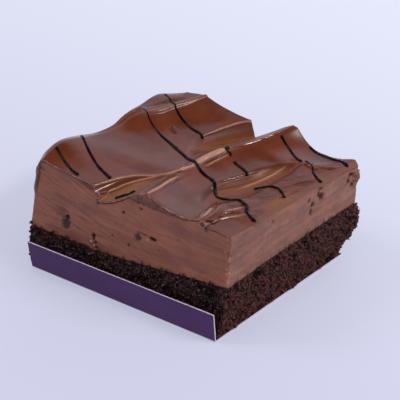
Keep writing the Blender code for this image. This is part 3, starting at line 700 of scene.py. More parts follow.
def icingFace(look):
    t = np.linspace(0, 1, look["rows"])
    front, back = look["sides"][2:]
    y = front + (back - front) * ((1 - look["frontRows"]) * t + look["frontRows"] * t * t)
    face, paintedGoldShare = sweepIcing(y, look)
    steps = np.linalg.norm(np.diff(face, axis=1), axis=2).mean(axis=0)
    across = np.broadcast_to(np.concatenate([[0], np.cumsum(steps)]), face.shape[:2])
    along = face[:, :, 1]
    flat = np.stack([across.ravel(), along.ravel(), np.zeros(along.size)], axis=1)
    broad = grain(flat * (1, 0.45, 1), 7.0)
    streaks = grain(flat * (1, 0.03, 1), 1.3, 5.0) + 0.6 * grain(flat * (1, 0.025, 1), 0.6, 9.0)
    drawn = 0.15 + 0.6 * smoothstep((grain(flat * (1, 0.3, 1), 9.0, 3.0))) + 0.5 * paintedGoldShare.ravel()
    relief = broad * look["unevenness"] + streaks * drawn * look["streaks"]
    inside = np.minimum(along - front, back - along)
    relief = relief.reshape(along.shape) * (0.3 + 0.7 * smoothstep(inside / 2))
    face = face + faceNormals(face) * relief[:, :, None]
    face[(0, -1), :, 1] = y[(0, -1), None]
    normals = faceNormals(face)
    marks = sum(markRelief(face, *mark) for mark in look["marks"].values()) * look["markHeight"]
    # where the painted highlights go
    paintedHighlight = sum(
        markRelief(face, *reach, look["marks"][name][2]) for name, reach in look["paintedHighlightEdges"].items()
    )
    smudgeX, smudgeY, turn, halfAcross, halfAlong = look["smudge"]
    sideways, onward = np.cos(np.radians(turn)), np.sin(np.radians(turn))
    x, y = face[:, :, 0] - smudgeX, face[:, :, 1] - smudgeY
    reach = np.hypot((x * sideways + y * onward) / halfAcross, (y * sideways - x * onward) / halfAlong)
    ragged = grain(flat, 1.0, 31.0).reshape(along.shape)
    smudge = smoothstep(1.3 + 0.8 * ragged - reach)
    relief = marks + smudge * (0.22 + 0.12 * grain(flat, 0.5, 33.0).reshape(along.shape))
    shaped = face + normals * relief[:, :, None]
    shaped[:, (0, -1), 0] = face[:, (0, -1), 0]
    shaped[(0, -1), :, 0] = face[(0, -1), :, 0]
    shaped[(0, -1), :, 1] = face[(0, -1), :, 1]
    faceMarks = {"paintedGoldShare": paintedGoldShare, "smudge": smudge, "ridge": marks, "paintedHighlight": np.clip(paintedHighlight / 0.3, 0, 1)}
    return shaped, face, across, faceMarks


def skirtSizes(side, top, look):
    # how deep the icing's edge reaches below its top face, and how far it stands out
    if side == "front":
        x, depth, bulge = np.array(look["droops"]).T
        ragged = 1 + look["droopRaggedness"] * grain(top * (1, 0, 0), 1.8, 6.0)
        return np.interp(top[:, 0], x, depth) * ragged, np.interp(top[:, 0], x, bulge)
    if side == "left":
        uneven = grain(top * (0, 1, 0), 5.0, 2.0) * 1.6 + grain(top * (0, 1, 0), 1.7, 4.0) * 0.7
        ends = 0.75 + 0.25 * smoothstep((top[:, 1] - look["sides"][2]) / 6)
        return (look["coatDepth"] + 3 * uneven) * ends, np.full(len(top), look["coatBulge"])
    if side == "back":
        depth, deeper, bulge, fuller = look["backEdge"]
        uneven = np.abs(grain(top * (1, 0, 0), 6.0, 7.0))
        return depth + uneven * deeper, bulge + uneven * fuller
    return tuple(np.full(len(top), size) for size in look["rightEdge"])


def coverSheet(loop, runs, sheet, made, upward):
    # a coarse sheet that closes a ring of vertices, whose four sides start at the given runs
    ids = gridIds(sheet, made)
    faces = gridFaces(ids)
    for k, innerRun in enumerate(gridSides(ids)):
        faces += zipRuns(loop[runs[k]: runs[k + 1] + 1], innerRun)
    return faces if upward else [tuple(face[::-1]) for face in faces]


def makeIcing(look, material):
    face, plain, across, faceMarks = icingFace(look)
    points = [face.reshape(-1, 3)]
    ids = gridIds(face)
    made = topCount = ids.size
    faces = gridFaces(ids)
    steps = np.arange(1, look["skirtSteps"] + 1) / look["skirtSteps"]
    down = (1 - np.cos(np.pi * steps)) / 2
    # the edge over the four sides; a post is one point of the top face with all those below it
    posts, runs = [], [0]
    rims, edges = [np.zeros(topCount)], [np.zeros(topCount)]
    for side, topIds in zip(outward, gridSides(ids)):
        top = points[0][topIds]
        depth, bulge = skirtSizes(side, top, look)
        below = depth[:, None] * down
        # a deep droop has a second fold below its rim
        deep = smoothstep((depth - 1.6) / 1.2)[:, None] * (side == "front")
        second = 0.35 * deep * np.sin(3 * np.pi * steps)
        out = look["edgeLeans"][side] * below + bulge[:, None] * (np.sin(np.pi * steps) - second)
        out = out - look["drawnIn"] * down
        skirt = top[:, None] + out[:, :, None] * np.array(outward[side]) - below[:, :, None] * (0, 0, 1)
        unevenness = look["skirtUnevenness"][side == "left"]
        uneven = grain(skirt.reshape(-1, 3), 1.5, 17.0).reshape(out.shape)
        uneven = uneven * unevenness * np.sin(np.pi * steps)
        skirt += uneven[:, :, None] * np.array(outward[side])
        skirtIds = gridIds(skirt, made)
        made += skirtIds.size
        points.append(skirt.reshape(-1, 3))
        # a painted highlight along the top of the edge over the front and left cuts
        thin = lump(below, look["rimPlace"], look["rimPlace"]) * (side in ("front", "left"))
        rims.append(thin.ravel() * np.repeat(0.6 + 0.4 * grain(top, 3.0, 51.0), len(steps)))
        edges.append(np.full(below.size, float(side != "right")))
        posts += [[t, *s] for t, s in zip(topIds, skirtIds.tolist())]
        runs.append(runs[-1] + len(topIds))
    for post, after in zip(posts, posts[1:] + posts[:1]):
        for a, b, c, d in zip(post, post[1:], after[1:], after):
            faces.append((a, b, c) if a == d else (a, b, c, d))
    # a coarser sheet closes the hidden underside
    loop = np.array([post[-1] for post in posts + posts[:1]])
    under = face[3:-3:4, 3:-3:4] - (0, 0, look["thickness"])
    faces += coverSheet(loop, runs, under, made, False)
    points.append(under.reshape(-1, 3))
    made += len(points[-1])
    around = np.linspace(0, 2 * np.pi, look["curlSides"], endpoint=False)
    # each curl winds inward and gets thinner, from 1 mm in front of the cut back to half of that
    for x, z, radius, turns, thickness in look["curls"]:
        turn = np.linspace(0, 2 * np.pi * turns, look["curlSteps"])
        share = turn / turn[-1]
        winding = radius * (1 - look["curlTightens"] * share)
        tapered = np.clip((1 - np.abs(2 * share - 1)) * 12 + 0.3, 0, 1)
        half = thickness * (1 - look["curlThins"] * share) * tapered
        wide = winding[:, None] + half[:, None] * np.cos(around)[None]
        out = look["sides"][2] - 1.0 + 0.5 * share[:, None] - half[:, None] * np.sin(around)[None]
        curl = np.stack([x + wide * np.cos(turn)[:, None], out, z + wide * np.sin(turn)[:, None]], axis=2)
        curlIds = gridIds(curl, made)
        faces += [tuple(curlIds[0]), tuple(curlIds[-1][::-1])]
        faces += gridFaces(ringIds(curlIds)[:, ::-1])
        points.append(curl.reshape(-1, 3))
        made += curlIds.size
    allPoints = np.concatenate(points)
    hidden = np.zeros(len(allPoints) - across.size)
    rims, edges = np.concatenate(rims), np.concatenate(edges)
    curled = len(allPoints) - len(rims)
    marks = {
        "across": np.concatenate([across.ravel(), np.resize(across, len(hidden))]),
        "along": allPoints[:, 1],
        "edge": np.concatenate([edges, np.ones(curled)]),
        "smeared": np.concatenate([np.zeros(topCount), 1 - edges[topCount:], np.zeros(curled)]),
        "rim": np.concatenate([np.clip(rims, 0, 1), np.full(curled, 0.4)]),
    }
    marks.update({name: np.concatenate([values.ravel(), hidden]) for name, values in faceMarks.items()})
    addPiece("icingSkin", allPoints, faces, [material], "icing", marks)
    # the mousse fills up to the plain sweep, but it stays under the deepest marks
    filled = plain - np.clip(plain - face, 0, None) * (0, 0, 1)
    return face, filled


def icingFinish(look):
    colors = look["colors"]
    finish = Finish("milkChocolateIcing")
    along = finish.mark("along")
    fromLeft = finish.split(finish.place)[0]
    drawn = finish.vector(finish.mark("across"), finish.times(along, 0.06), 0.0)
    streaks = finish.noise(drawn, 1.6, 4.0, 0.6)
    broad = finish.noise(finish.place, 0.09, 2.0)
    mottle = finish.noise(finish.place, 0.75, 4.0, 0.65)
    shade = finish.plus(finish.times(streaks, 0.35), finish.times(broad, 0.65))
    color = finish.mix(finish.between(shade, 0.35, 0.65), *colors["milk"])
    # painted reflection: the valleys are painted golden, as the warm light that they mirror, redder to the
    # right and to the back
    paintedGoldShare = finish.mark("paintedGoldShare")
    redder = finish.between(fromLeft, 8.0, 16.0, 0.0, 0.8)
    redder = finish.math("MAXIMUM", redder, finish.between(along, 0.0, 12.0))
    paintedGold = finish.mix(redder, finish.mix(streaks, *colors["paintedGold"]), finish.mix(streaks, *colors["paintedRedGold"]))
    color = finish.mix(paintedGoldShare, color, paintedGold)
    # marks of the knife: painted shade in their grooves and painted light on their ridges
    ridge = finish.mark("ridge")
    color = finish.mix(finish.between(ridge, -0.05, -0.6, 0.0, 0.8), color, colors["paintedGrooveShade"])
    color = finish.mix(finish.between(ridge, 0.1, 0.8, 0.0, 0.65), color, colors["paintedRidgeLight"])
    # painted highlights: pale lines along the lips, ridges and facets
    paintedHighlight = finish.times(finish.mark("paintedHighlight"), finish.between(streaks, 0.3, 0.55, 0.25, 0.75))
    color = finish.mix(paintedHighlight, color, colors["paintedHighlightEdges"])
    # edges over the cut sides
    edge = finish.mark("edge")
    smeared = finish.mark("smeared")
    skirt = finish.mix(finish.between(mottle, 0.38, 0.62), *colors["skirt"])
    color = finish.mix(finish.times(edge, 0.8), color, skirt)
    # painted highlight along the rim
    rim = finish.times(finish.mark("rim"), finish.between(mottle, 0.35, 0.6, 0.35, 0.95))
    color = finish.mix(rim, color, colors["rim"])
    color = finish.mix(finish.times(finish.mark("smudge"), 0.85), color, colors["smudge"])
    color = finish.mix(finish.times(smeared, 0.9), color, colors["rightSkirt"])
    # the right slope is dragged into streaks, painted darker in them as painted shade, and the mousse is
    # rubbed over its edge
    turned = finish.scaled(finish.place, (1.0, 1.0, 1.0), (0.0, 0.0, 27.0))
    dragged = finish.noise(finish.scaled(turned, (0.42, 0.10, 0.2)), 1.0, 4.0, 0.6)
    pastCorner = finish.between(along, -27.0, -19.0)
    slope = finish.times(pastCorner, finish.between(fromLeft, 27.5, 31.5))
    paintedStreakShade = finish.times(slope, finish.between(dragged, 0.46, 0.60, 0.0, 0.7))
    color = finish.mix(paintedStreakShade, color, colors["dragged"])
    rubbed = finish.times(finish.between(along, -16.0, -9.0), finish.between(along, 1.0, 7.0, 1.0, 0.0))
    rubbed = finish.times(rubbed, finish.between(fromLeft, 35.5, 39.5))
    rubbed = finish.times(rubbed, finish.between(dragged, 0.40, 0.52, 0.1, 0.8))
    color = finish.mix(rubbed, color, colors["rubbed"])
    spread = finish.between(finish.plus(fromLeft, finish.times(mottle, 4.0)), 41.8, 43.8)
    spread = finish.times(spread, pastCorner)
    color = finish.mix(finish.times(spread, 0.8), color, colors["spread"])
    duller = look["duller"]
    backValley = finish.between(along, 12.0, 24.0, 0.0, duller["backValley"])
    backValley = finish.times(backValley, finish.between(fromLeft, -13.0, -8.0))
    backValley = finish.times(backValley, finish.between(fromLeft, 0.0, 5.0, 1.0, 0.0))
    roughness = finish.between(finish.noise(finish.place, 0.5, 3.0), 0.3, 0.7, *look["roughness"])
    for extra in (
        finish.times(edge, finish.between(mottle, 0.3, 0.7, *duller["edge"])),
        finish.times(paintedGoldShare, duller["paintedGoldShare"]),
        finish.between(along, 28.0, 39.0, 0.0, duller["back"]),
        finish.times(finish.math("MAXIMUM", rubbed, spread), duller["rubbed"]),
        backValley,
        finish.times(smeared, duller["smeared"]),
    ):
        roughness = finish.plus(extra, roughness)
    fadesBack = finish.times(slope, finish.between(along, 14.0, 22.0, 1.0, 0.0))
    relief = finish.bump(streaks, look["streakRelief"])
    relief = finish.bump(finish.times(fadesBack, dragged), look["dragRelief"], relief)
    return finish.set(Base_Color=color, Roughness=roughness, IOR=1.46, Normal=relief)


icingTop, icingBelow = makeIcing(icingLook, icingFinish(icingLook))


# Drizzle
drizzleLook = {
    # each line's width at its start and where it has widened, and its route over the icing as (x, y)
    "routes": {
        "leftCorner": (1.1, 1.3, (
            (-38.5, -29.4), (-35.7, -30.7), (-31.1, -32.8), (-27.1, -34.4), (-23.6, -35.3),
        )),
        "left": (1.1, 1.25, (
            (-39.7, -14.3), (-34.5, -18.2), (-29.6, -21.6), (-22.7, -25.6), (-16.8, -28.2),
            (-14.0, -29.6),
        )),
        "long": (0.45, 1.35, (
            (-36.7, 17.4), (-33.0, 15.1), (-29.6, 13.6), (-24.9, 11.7), (-18.0, 8.6), (-9.7, 3.8),
            (-1.6, -0.6), (1.9, -2.5), (5.2, -4.0), (7.5, -4.5), (9.9, -4.9), (11.6, -5.5), (13.8, -7.4),
            (16.7, -10.9), (18.9, -13.0), (20.6, -13.7), (24.6, -14.4), (28.5, -14.2), (30.8, -14.8),
            (33.2, -15.8), (34.8, -18.0), (36.5, -19.9), (39.3, -21.3), (41.0, -22.1),
        )),
        "back": (0.8, 1.15, (
            (-39.0, 32.8), (-37.3, 32.0), (-33.9, 29.5), (-30.0, 26.6), (-26.9, 25.1), (-19.9, 23.2),
            (-14.0, 21.3), (-11.6, 19.4),
        )),
        "firstValley": (1.5, -0.6, (
            (-7.8, -34.6), (-6.4, -34.2), (-4.7, -33.6), (-2.6, -33.8), (-0.2, -33.6),
        )),
        "knot": (0.9, 1.2, (
            (2.6, 14.6), (4.3, 13.9), (4.4, 12.6), (4.0, 11.8), (5.2, 11.9), (6.2, 12.0), (6.8, 11.0),
        )),
        "middle": (1.2, 1.3, (
            (9.3, 9.9), (11.2, 9.4), (13.1, 9.0), (14.9, 8.3), (16.6, 7.1), (17.8, 6.0),
        )),
        "right": (1.0, 1.3, ((13.3, 32.6), (15.3, 31.8), (19.1, 30.2), (23.6, 27.4), (27.1, 25.6))),
        "rightSide": (0.6, 1.4, (
            (27.3, 27.6), (30.0, 26.6), (33.2, 23.4), (35.2, 20.9), (38.2, 18.9), (41.0, 17.2),
        )),
        "hook": (1.25, 0.9, (
            (24.7, 0.4), (27.0, 2.2), (29.6, 2.3), (31.5, 2.5), (33.3, 2.7), (35.8, 1.2), (38.6, -1.3),
        )),
        "backEdge": (1.0, 1.5, (
            (21.6, 38.8), (24.2, 38.3), (26.9, 37.9), (30.8, 37.7), (34.6, 36.7), (38.3, 35.1),
            (41.0, 33.6),
        )),
    },
    "thickness": 0.86,  # of the routes' widths
    "height": 0.85,  # as a share of the width
    "lift": 0.25,  # of its middle over the icing, as a share of half its width
    "widensIn": 30.0,  # how far along a line has its second width
    "sides": 10,
    "step": 0.35,
    "smoothing": 12,  # passes that carry a line over the smallest bumps
    "probe": 0.5,  # how far to either side the icing's slope is felt
    "narrowest": 0.4,
    "swells": ((0.14, 2.6, 7.3), (0.08, 0.9, 3.1)),  # share, length and seed of the uneven width
    "drops": ((0.25, 1.1), (0.15, 1.0)),  # share and reach of the thicker last and first drop
    "dropPlace": 0.9,  # from the line's end
    "color": ((0.0006, 0.0005, 0.0007), (0.0014, 0.0010, 0.0014)),
    "roughness": (0.06, 0.11),
    "relief": 0.03,
}


def evenly(points, step):
    lengths = np.concatenate([[0], np.cumsum(np.linalg.norm(np.diff(points, axis=0), axis=1))])
    count = max(4, round(lengths[-1] / step))
    wanted = np.linspace(0, lengths[-1], count + 1)
    return np.stack([np.interp(wanted, lengths, points[:, c]) for c in range(3)], axis=1), wanted


def makeDrizzle(look, material):
    points, faces = [], []
    made = 0
    for number, (startWidth, endWidth, route) in enumerate(look["routes"].values()):
        flat = curveThrough(route, 40)
        laid = np.array([(x, y, heightOn(icingTop, x, y)) for x, y in flat])
        for _ in range(look["smoothing"]):
            laid[1:-1] = (laid[:-2] + 2 * laid[1:-1] + laid[2:]) / 4
        middle, far = evenly(laid, look["step"])
        tangent = np.gradient(middle, axis=0)
        tangent /= np.linalg.norm(tangent, axis=1, keepdims=True)
        # the ring lies flat on the icing, so it leans as the icing does to the left and the right
        leftward = np.stack([-tangent[:, 1], tangent[:, 0], np.zeros(len(far))], axis=1)
        leftward /= np.linalg.norm(leftward, axis=1, keepdims=True)
        onLeft, onRight = (
            np.array([heightOn(icingTop, x, y) for x, y, _ in middle + reach * leftward])
            for reach in (look["probe"], -look["probe"])
        )
        slope = np.clip((onLeft - onRight) / (2 * look["probe"]), -1.5, 1.5)
        sideways = leftward + slope[:, None] * (0, 0, 1)
        sideways /= np.linalg.norm(sideways, axis=1, keepdims=True)
        upward = np.cross(tangent, sideways)
        onward = far[:, None] * (1, 0, 0)
        swell = 1
        for share, length, seed in look["swells"]:
            swell = swell + share * grain(onward, length, number * seed)
        swell *= np.clip(np.minimum(far + 0.25, far[-1] - far + 0.25) / 0.5, 0.25, 1) ** 0.5
        (lastShare, lastReach), (firstShare, firstReach) = look["drops"]
        lastDrop = lump(far, far[-1] - look["dropPlace"], lastReach)
        swell += lastShare * lastDrop + firstShare * lump(far, look["dropPlace"], firstReach)
        width = startWidth + (endWidth - startWidth) * smoothstep(far / look["widensIn"])
        half = np.maximum(width, look["narrowest"]) * look["thickness"] / 2 * swell
        turn = np.linspace(0, 2 * np.pi, look["sides"], endpoint=False)
        halfAcross = (sideways * half[:, None])[:, None]
        halfUp = (upward * half[:, None])[:, None]
        height = np.sin(turn) * look["height"] + look["lift"]
        ring = middle[:, None] + np.cos(turn)[:, None] * halfAcross + height[:, None] * halfUp
        ids = gridIds(ring, made)
        made += ids.size
        points.append(ring.reshape(-1, 3))
        faces += gridFaces(ringIds(ids)[:, ::-1])
        faces += [tuple(ids[0]), tuple(ids[-1][::-1])]
    addPiece("drizzleLines", np.concatenate(points), faces, [material])


def drizzleFinish(look):
    finish = Finish("darkChocolateDrizzle")
    shade = finish.noise(finish.place, 0.8)
    color = finish.mix(finish.between(shade, 0.3, 0.7), *look["color"])
    gloss = finish.between(shade, 0.3, 0.7, *look["roughness"])
    relief = finish.bump(shade, look["relief"])
    return finish.set(Base_Color=color, Roughness=gloss, Specular_IOR_Level=0.09, Normal=relief)


makeDrizzle(drizzleLook, drizzleFinish(drizzleLook))


# Mousse
mousseLook = {
    "bottomSides": (-44.0, 41.2, -36.9, 40.4),  # left, right, front and back
    "underIcing": 0.9,  # how far it ends below the icing's top face
    "levels": 56,
    "cornerRadius": 0.7,
    "streaks": 0.15,  # depth of the lines that the knife drew
    "unevenness": 0.16,
    # holes: the side, the place along it and the height, half sizes and depth; one below 0 is a lump
    "holes": (
        ("front", -26.2, 19.6, 1.9, 2.5, 0.75),
        ("front", -26.0, 22.4, 1.0, 0.7, 1.6),
        ("front", -27.4, 24.8, 1.3, 1.6, 0.15),
        ("front", -14.2, 18.6, 0.7, 1.2, 1.4),
        ("front", -13.2, 17.0, 0.6, 0.7, 1.5),
        ("front", -14.6, 16.8, 0.6, 0.6, -0.5),
        ("front", -13.4, 15.6, 0.6, 0.5, -0.4),
        ("front", -12.4, 15.0, 0.5, 0.4, 1.3),
        ("front", -12.9, 13.9, 0.7, 0.6, -0.4),
        ("front", 10.6, 26.5, 1.7, 0.75, 2.2),
        ("front", 8.8, 25.9, 0.8, 0.4, -0.5),
        ("front", 6.4, 27.2, 2.6, 0.4, 0.5),
        ("front", 4.6, 25.2, 1.8, 1.5, 0.6),
        ("front", -2.6, 32.4, 0.9, 0.5, 0.7),
        ("front", 4.9, 36.3, 0.9, 0.6, 0.6),
        ("front", 1.0, 20.8, 0.6, 0.8, 0.6),
        ("front", -6.2, 22.0, 0.4, 0.5, 0.5),
        ("front", -33.0, 27.0, 0.5, 0.4, 0.4),
        ("front", 21.0, 30.0, 0.5, 0.4, 0.4),
        ("front", 13.6, 23.4, 0.5, 0.4, 0.4),
        ("right", 16.2, 35.0, 1.6, 1.0, 1.6),
        ("right", 15.2, 33.2, 0.9, 1.1, 1.4),
        ("right", 17.0, 31.4, 1.4, 1.5, 1.8),
        ("right", 9.0, 33.2, 0.9, 0.9, 1.3),
        ("right", 11.8, 30.2, 1.1, 1.4, 1.6),
        ("right", 11.0, 27.8, 0.8, 1.5, 1.3),
        ("right", -12.2, 33.9, 0.6, 0.6, 0.9),
        ("right", -18.0, 26.0, 0.5, 0.4, 0.4),
        ("right", 36.6, 33.6, 1.6, 1.9, -1.0),
        ("right", 38.4, 31.0, 1.5, 2.0, -1.5),
        ("right", 37.6, 28.2, 1.6, 1.3, -0.9),
        ("back", 39.4, 31.6, 2.6, 3.4, -1.2),
        ("right", 35.2, 32.6, 1.2, 0.9, 1.3),
        ("right", 33.8, 30.4, 1.0, 1.3, 1.3),
        ("right", 35.8, 28.6, 0.9, 0.8, 1.2),
        ("left", -12.0, 21.0, 0.9, 0.7, 0.9),
        ("left", 14.0, 19.0, 0.7, 1.1, 0.8),
        ("left", 26.0, 20.5, 0.5, 0.5, 0.6),
        ("back", -20.0, 26.0, 0.9, 1.2, 1.0),
        ("back", 6.0, 22.0, 1.2, 0.8, 0.9),
        ("back", 23.0, 29.0, 0.6, 0.6, 0.6),
    ),
    "raggedness": 0.38,  # of the holes' rims
    "colors": {
        "mousse": ((0.188, 0.056, 0.025), (0.262, 0.085, 0.040)),
        # painted light on the right side: its greyer tint for the sheen it mirrors, and clouds of painted
        # shadow and light
        "rightSide": (0.160, 0.069, 0.042),
        "rightShadow": (0.115, 0.052, 0.042),
        "rightLit": (0.27, 0.125, 0.090),
        "bands": ((0.125, 0.040, 0.030), (0.27, 0.108, 0.066)),
        # painted shade in the knife's lines where they cut in, and painted light where they piled up
        "drag": ((0.075, 0.020, 0.010), (0.26, 0.10, 0.055)),
        "strokes": ((0.080, 0.024, 0.015), (0.33, 0.138, 0.080)),
        "smear": (0.29, 0.098, 0.036),
        # smeared glaze at the corner, with a painted highlight along it
        "cornerSmearAndHighlight": (0.42, 0.170, 0.075),
        # painted shade in the holes
        "pits": ((0.022, 0.007, 0.006), (0.050, 0.011, 0.007)),
        "specksAndGlints": (0.42, 0.215, 0.085),
        "crumby": (0.030, 0.009, 0.006),
    },
    "roughness": (0.42, 0.58),
    "streakRelief": 0.08,
    "fineRelief": 0.07,
}
# The border between the sponge and the mousse: it dips towards the front, and less so to the right
spongeTop = {
    "height": 19.2,
    "dip": 6.0,
    "dipEnds": -10.0,
    "dipReach": 26.0,
    "riseStarts": -22.0,
    "riseReach": 78.0,
}
touchGap = 0.3  # between the two


def spongeTopHeight(x, y):
    forward = smoothstep((spongeTop["dipEnds"] - y) / spongeTop["dipReach"])
    leftward = 1 - smoothstep((x - spongeTop["riseStarts"]) / spongeTop["riseReach"])
    return spongeTop["height"] - spongeTop["dip"] * forward * leftward


def stretch(value, old, new):
    return new[0] + (value - old[0]) * (new[1] - new[0]) / (old[1] - old[0])


def mousseRing(flat, sides, look):
    # for each point round the top of the mousse: its number, outward direction, side, place along that
    # side, and how far the rounded corner draws it in
    ring, push, sideNames, along, rounded = [], [], [], [], []
    directions = np.array(list(outward.values()), dtype=float)
    radius = look["cornerRadius"]
    for k, (side, run) in enumerate(zip(outward, sides)):
        spots = flat[run][:, 0 if side in ("front", "back") else 1]
        fromCorner = np.minimum(np.abs(spots - spots[0]), np.abs(spots - spots[-1]))
        inside = np.clip(radius - fromCorner[:-1], 0, radius)
        rounding = radius - np.sqrt(radius**2 - inside**2)
        turned = np.repeat(directions[k: k + 1], len(run) - 1, axis=0)
        # the corner itself moves along the directions of both its sides
        rounding[0] = radius * 0.29
        turned[0] += directions[k - 1]
        ring.append(run[:-1])
        push.append(turned)
        sideNames.append(np.full(len(run) - 1, side))
        along.append(spots[:-1])
        rounded.append(rounding)
    return [np.concatenate(values) for values in (ring, push, sideNames, along, rounded)]


def knifeDrag(places):
    # fine lines that the knife drew, and how strong they are at each place: they fall gently to the
    # right on the front, and run level elsewhere
    fall = 0.24 * (1 - smoothstep((places[:, 0] + 30) / 50)) * (places[:, 1] < 0)
    drag = np.stack([
        (places[:, 0] + places[:, 1]) * 0.07,
        places[:, 2] + (places[:, 0] + 12) * fall,
        places[:, 1] * 0.05,
    ], axis=1)
    dragged = np.clip(grain(drag, 0.85, 4.0), -1, 1)
    dragged = np.where(dragged < 0, dragged, 0.4 * dragged)
    patches = 0.35 + 0.65 * smoothstep(grain(places * (0.5, 0.5, 1), 8.0, 8.0) + 0.5)
    strength = (0.35 + 0.65 * (1 - smoothstep((places[:, 0] + 26) / 40))) * patches
    return dragged, strength


def makeMousse(look, material):
    face = icingBelow - (0, 0, look["underIcing"])
    top = icingLook["sides"]
    flat = face.reshape(-1, 3)
    low = flat.copy()
    low[:, 0] = stretch(flat[:, 0], top[:2], look["bottomSides"][:2])
    low[:, 1] = stretch(flat[:, 1], top[2:], look["bottomSides"][2:])
    low[:, 2] = spongeTopHeight(low[:, 0], low[:, 1]) + touchGap
    sides = gridSides(gridIds(face))
    ring, push, sideNames, along, rounded = mousseRing(flat, sides, look)
    levels = np.linspace(1, 0, look["levels"] + 1)[:, None, None]
    wall = low[ring] + (flat[ring] - low[ring]) * levels
    z = wall[:, :, 2]
    places = wall.reshape(-1, 3)

    def grained(stretched, size, seed):
        return grain(places * stretched, size, seed).reshape(z.shape)

    relief = grain(places, 5.0, 1.0) * look["unevenness"] + grain(places, 1.6, 2.0) * 0.05
    dragged, strength = knifeDrag(places)
    relief += dragged * look["streaks"] * strength
    relief = relief.reshape(z.shape)
    rims = grained(1, 0.8, 12.0) * look["raggedness"]
    pits, specksAndGlints = np.zeros_like(z), np.zeros_like(z)
    for side, spot, height, halfAcross, halfUp, depth in look["holes"]:
        r = ((along[None] - spot) / halfAcross) ** 2 + ((z - height) / halfUp) ** 2
        bowl = np.sqrt(np.clip(1 - r * (1 + rims) - rims * 0.5, 0, 1))
        bowl = np.where((sideNames == side)[None], bowl, 0)
        relief -= bowl * depth
        # the holes are marked to be painted dark, as painted shade
        pits = np.maximum(pits, bowl * min(max(depth, 0.0), 1.0))
        specksAndGlints = np.maximum(specksAndGlints, bowl * (depth < 0) * (side == "front"))
    # the corner between the front and the right is rough
    nearCorner = np.exp(-((along - top[2]) ** 2) / 2.5) * (sideNames == "right")
    nearCorner += np.exp(-((along - top[1]) ** 2) / 2.5) * (sideNames == "front")
    relief += nearCorner[None] * grained(1, 1.1, 37.0) * 0.35
    relief -= rounded[None]
    wall = wall + push[None] * relief[:, :, None]
    wall[0] = flat[ring] - push * 0.25 * (1, 1, 0)
    wall[-1] = low[ring] - push * 0.15
    points = [wall.reshape(-1, 3)]
    wallIds = gridIds(wall)
    made = wallIds.size
    faces = gridFaces(ringIds(wallIds)[::-1])
    # a coarser sheet closes the hidden top and bottom
    rows = np.arange(3, face.shape[0] - 3, 4)
    columns = np.arange(3, face.shape[1] - 3, 3)
    runs = np.cumsum([0] + [len(run) - 1 for run in sides])
    for level, source, upward in ((0, flat, True), (-1, low, False)):
        loop = ringIds(wallIds)[level]
        sheet = source.reshape(*face.shape)[np.ix_(rows, columns)] - (0, 0, 0.15 if upward else 0)
        faces += coverSheet(loop, runs, sheet, made, upward)
        points.append(sheet.reshape(-1, 3))
        made += len(points[-1])
    # where the finish shows crumbs at its foot, the pale corner (smeared glaze with a painted highlight),
    # smeared icing and the lines of the knife
    crumbLine = 0.3 + 2.1 * np.clip(grained((1, 1, 0.4), 1.6, 22.0), 0, 1)
    offRight = wall[:, :, 0] - look["bottomSides"][1] - 0.2
    offFront = wall[:, :, 1] - look["bottomSides"][2]
    fromCorner = np.hypot(offRight, offFront) + 0.9 * grained((1, 1, 0.7), 1.3, 35.0)
    patchy = 0.15 + 0.85 * smoothstep(1.6 * grained((1, 1, 0.6), 0.8, 27.0) + 0.4)
    smear = lump(along[None], -4.0, 15.0) * lump(z, 35.6, 4.5) * (sideNames == "right")
    bands = grain(np.stack([places[:, 1] * 0.05, places[:, 2], places[:, 0] * 0.05], axis=1), 2.2, 15.0)
    marks = {
        "pit": pits,
        "speckAndGlint": specksAndGlints,
        "drag": (dragged * strength).reshape(z.shape),
        "band": bands.reshape(z.shape),
        "crumby": 1 - smoothstep((z - z[-1]) / crumbLine - 0.3),
        "cornerSmearAndHighlight": (1 - smoothstep((fromCorner - 0.4) / 1.1)) * patchy,
        "smear": smear * smoothstep(grained((1, 0.25, 1), 1.6, 61.0) + 0.7),
        "rightSide": np.repeat((sideNames == "right")[None].astype(float), len(z), axis=0),
    }
    hidden = np.zeros(made - wallIds.size)
    marks = {name: np.concatenate([values.ravel(), hidden]) for name, values in marks.items()}
    addPiece("mousseBlock", np.concatenate(points), faces, [material], "mousse", marks)


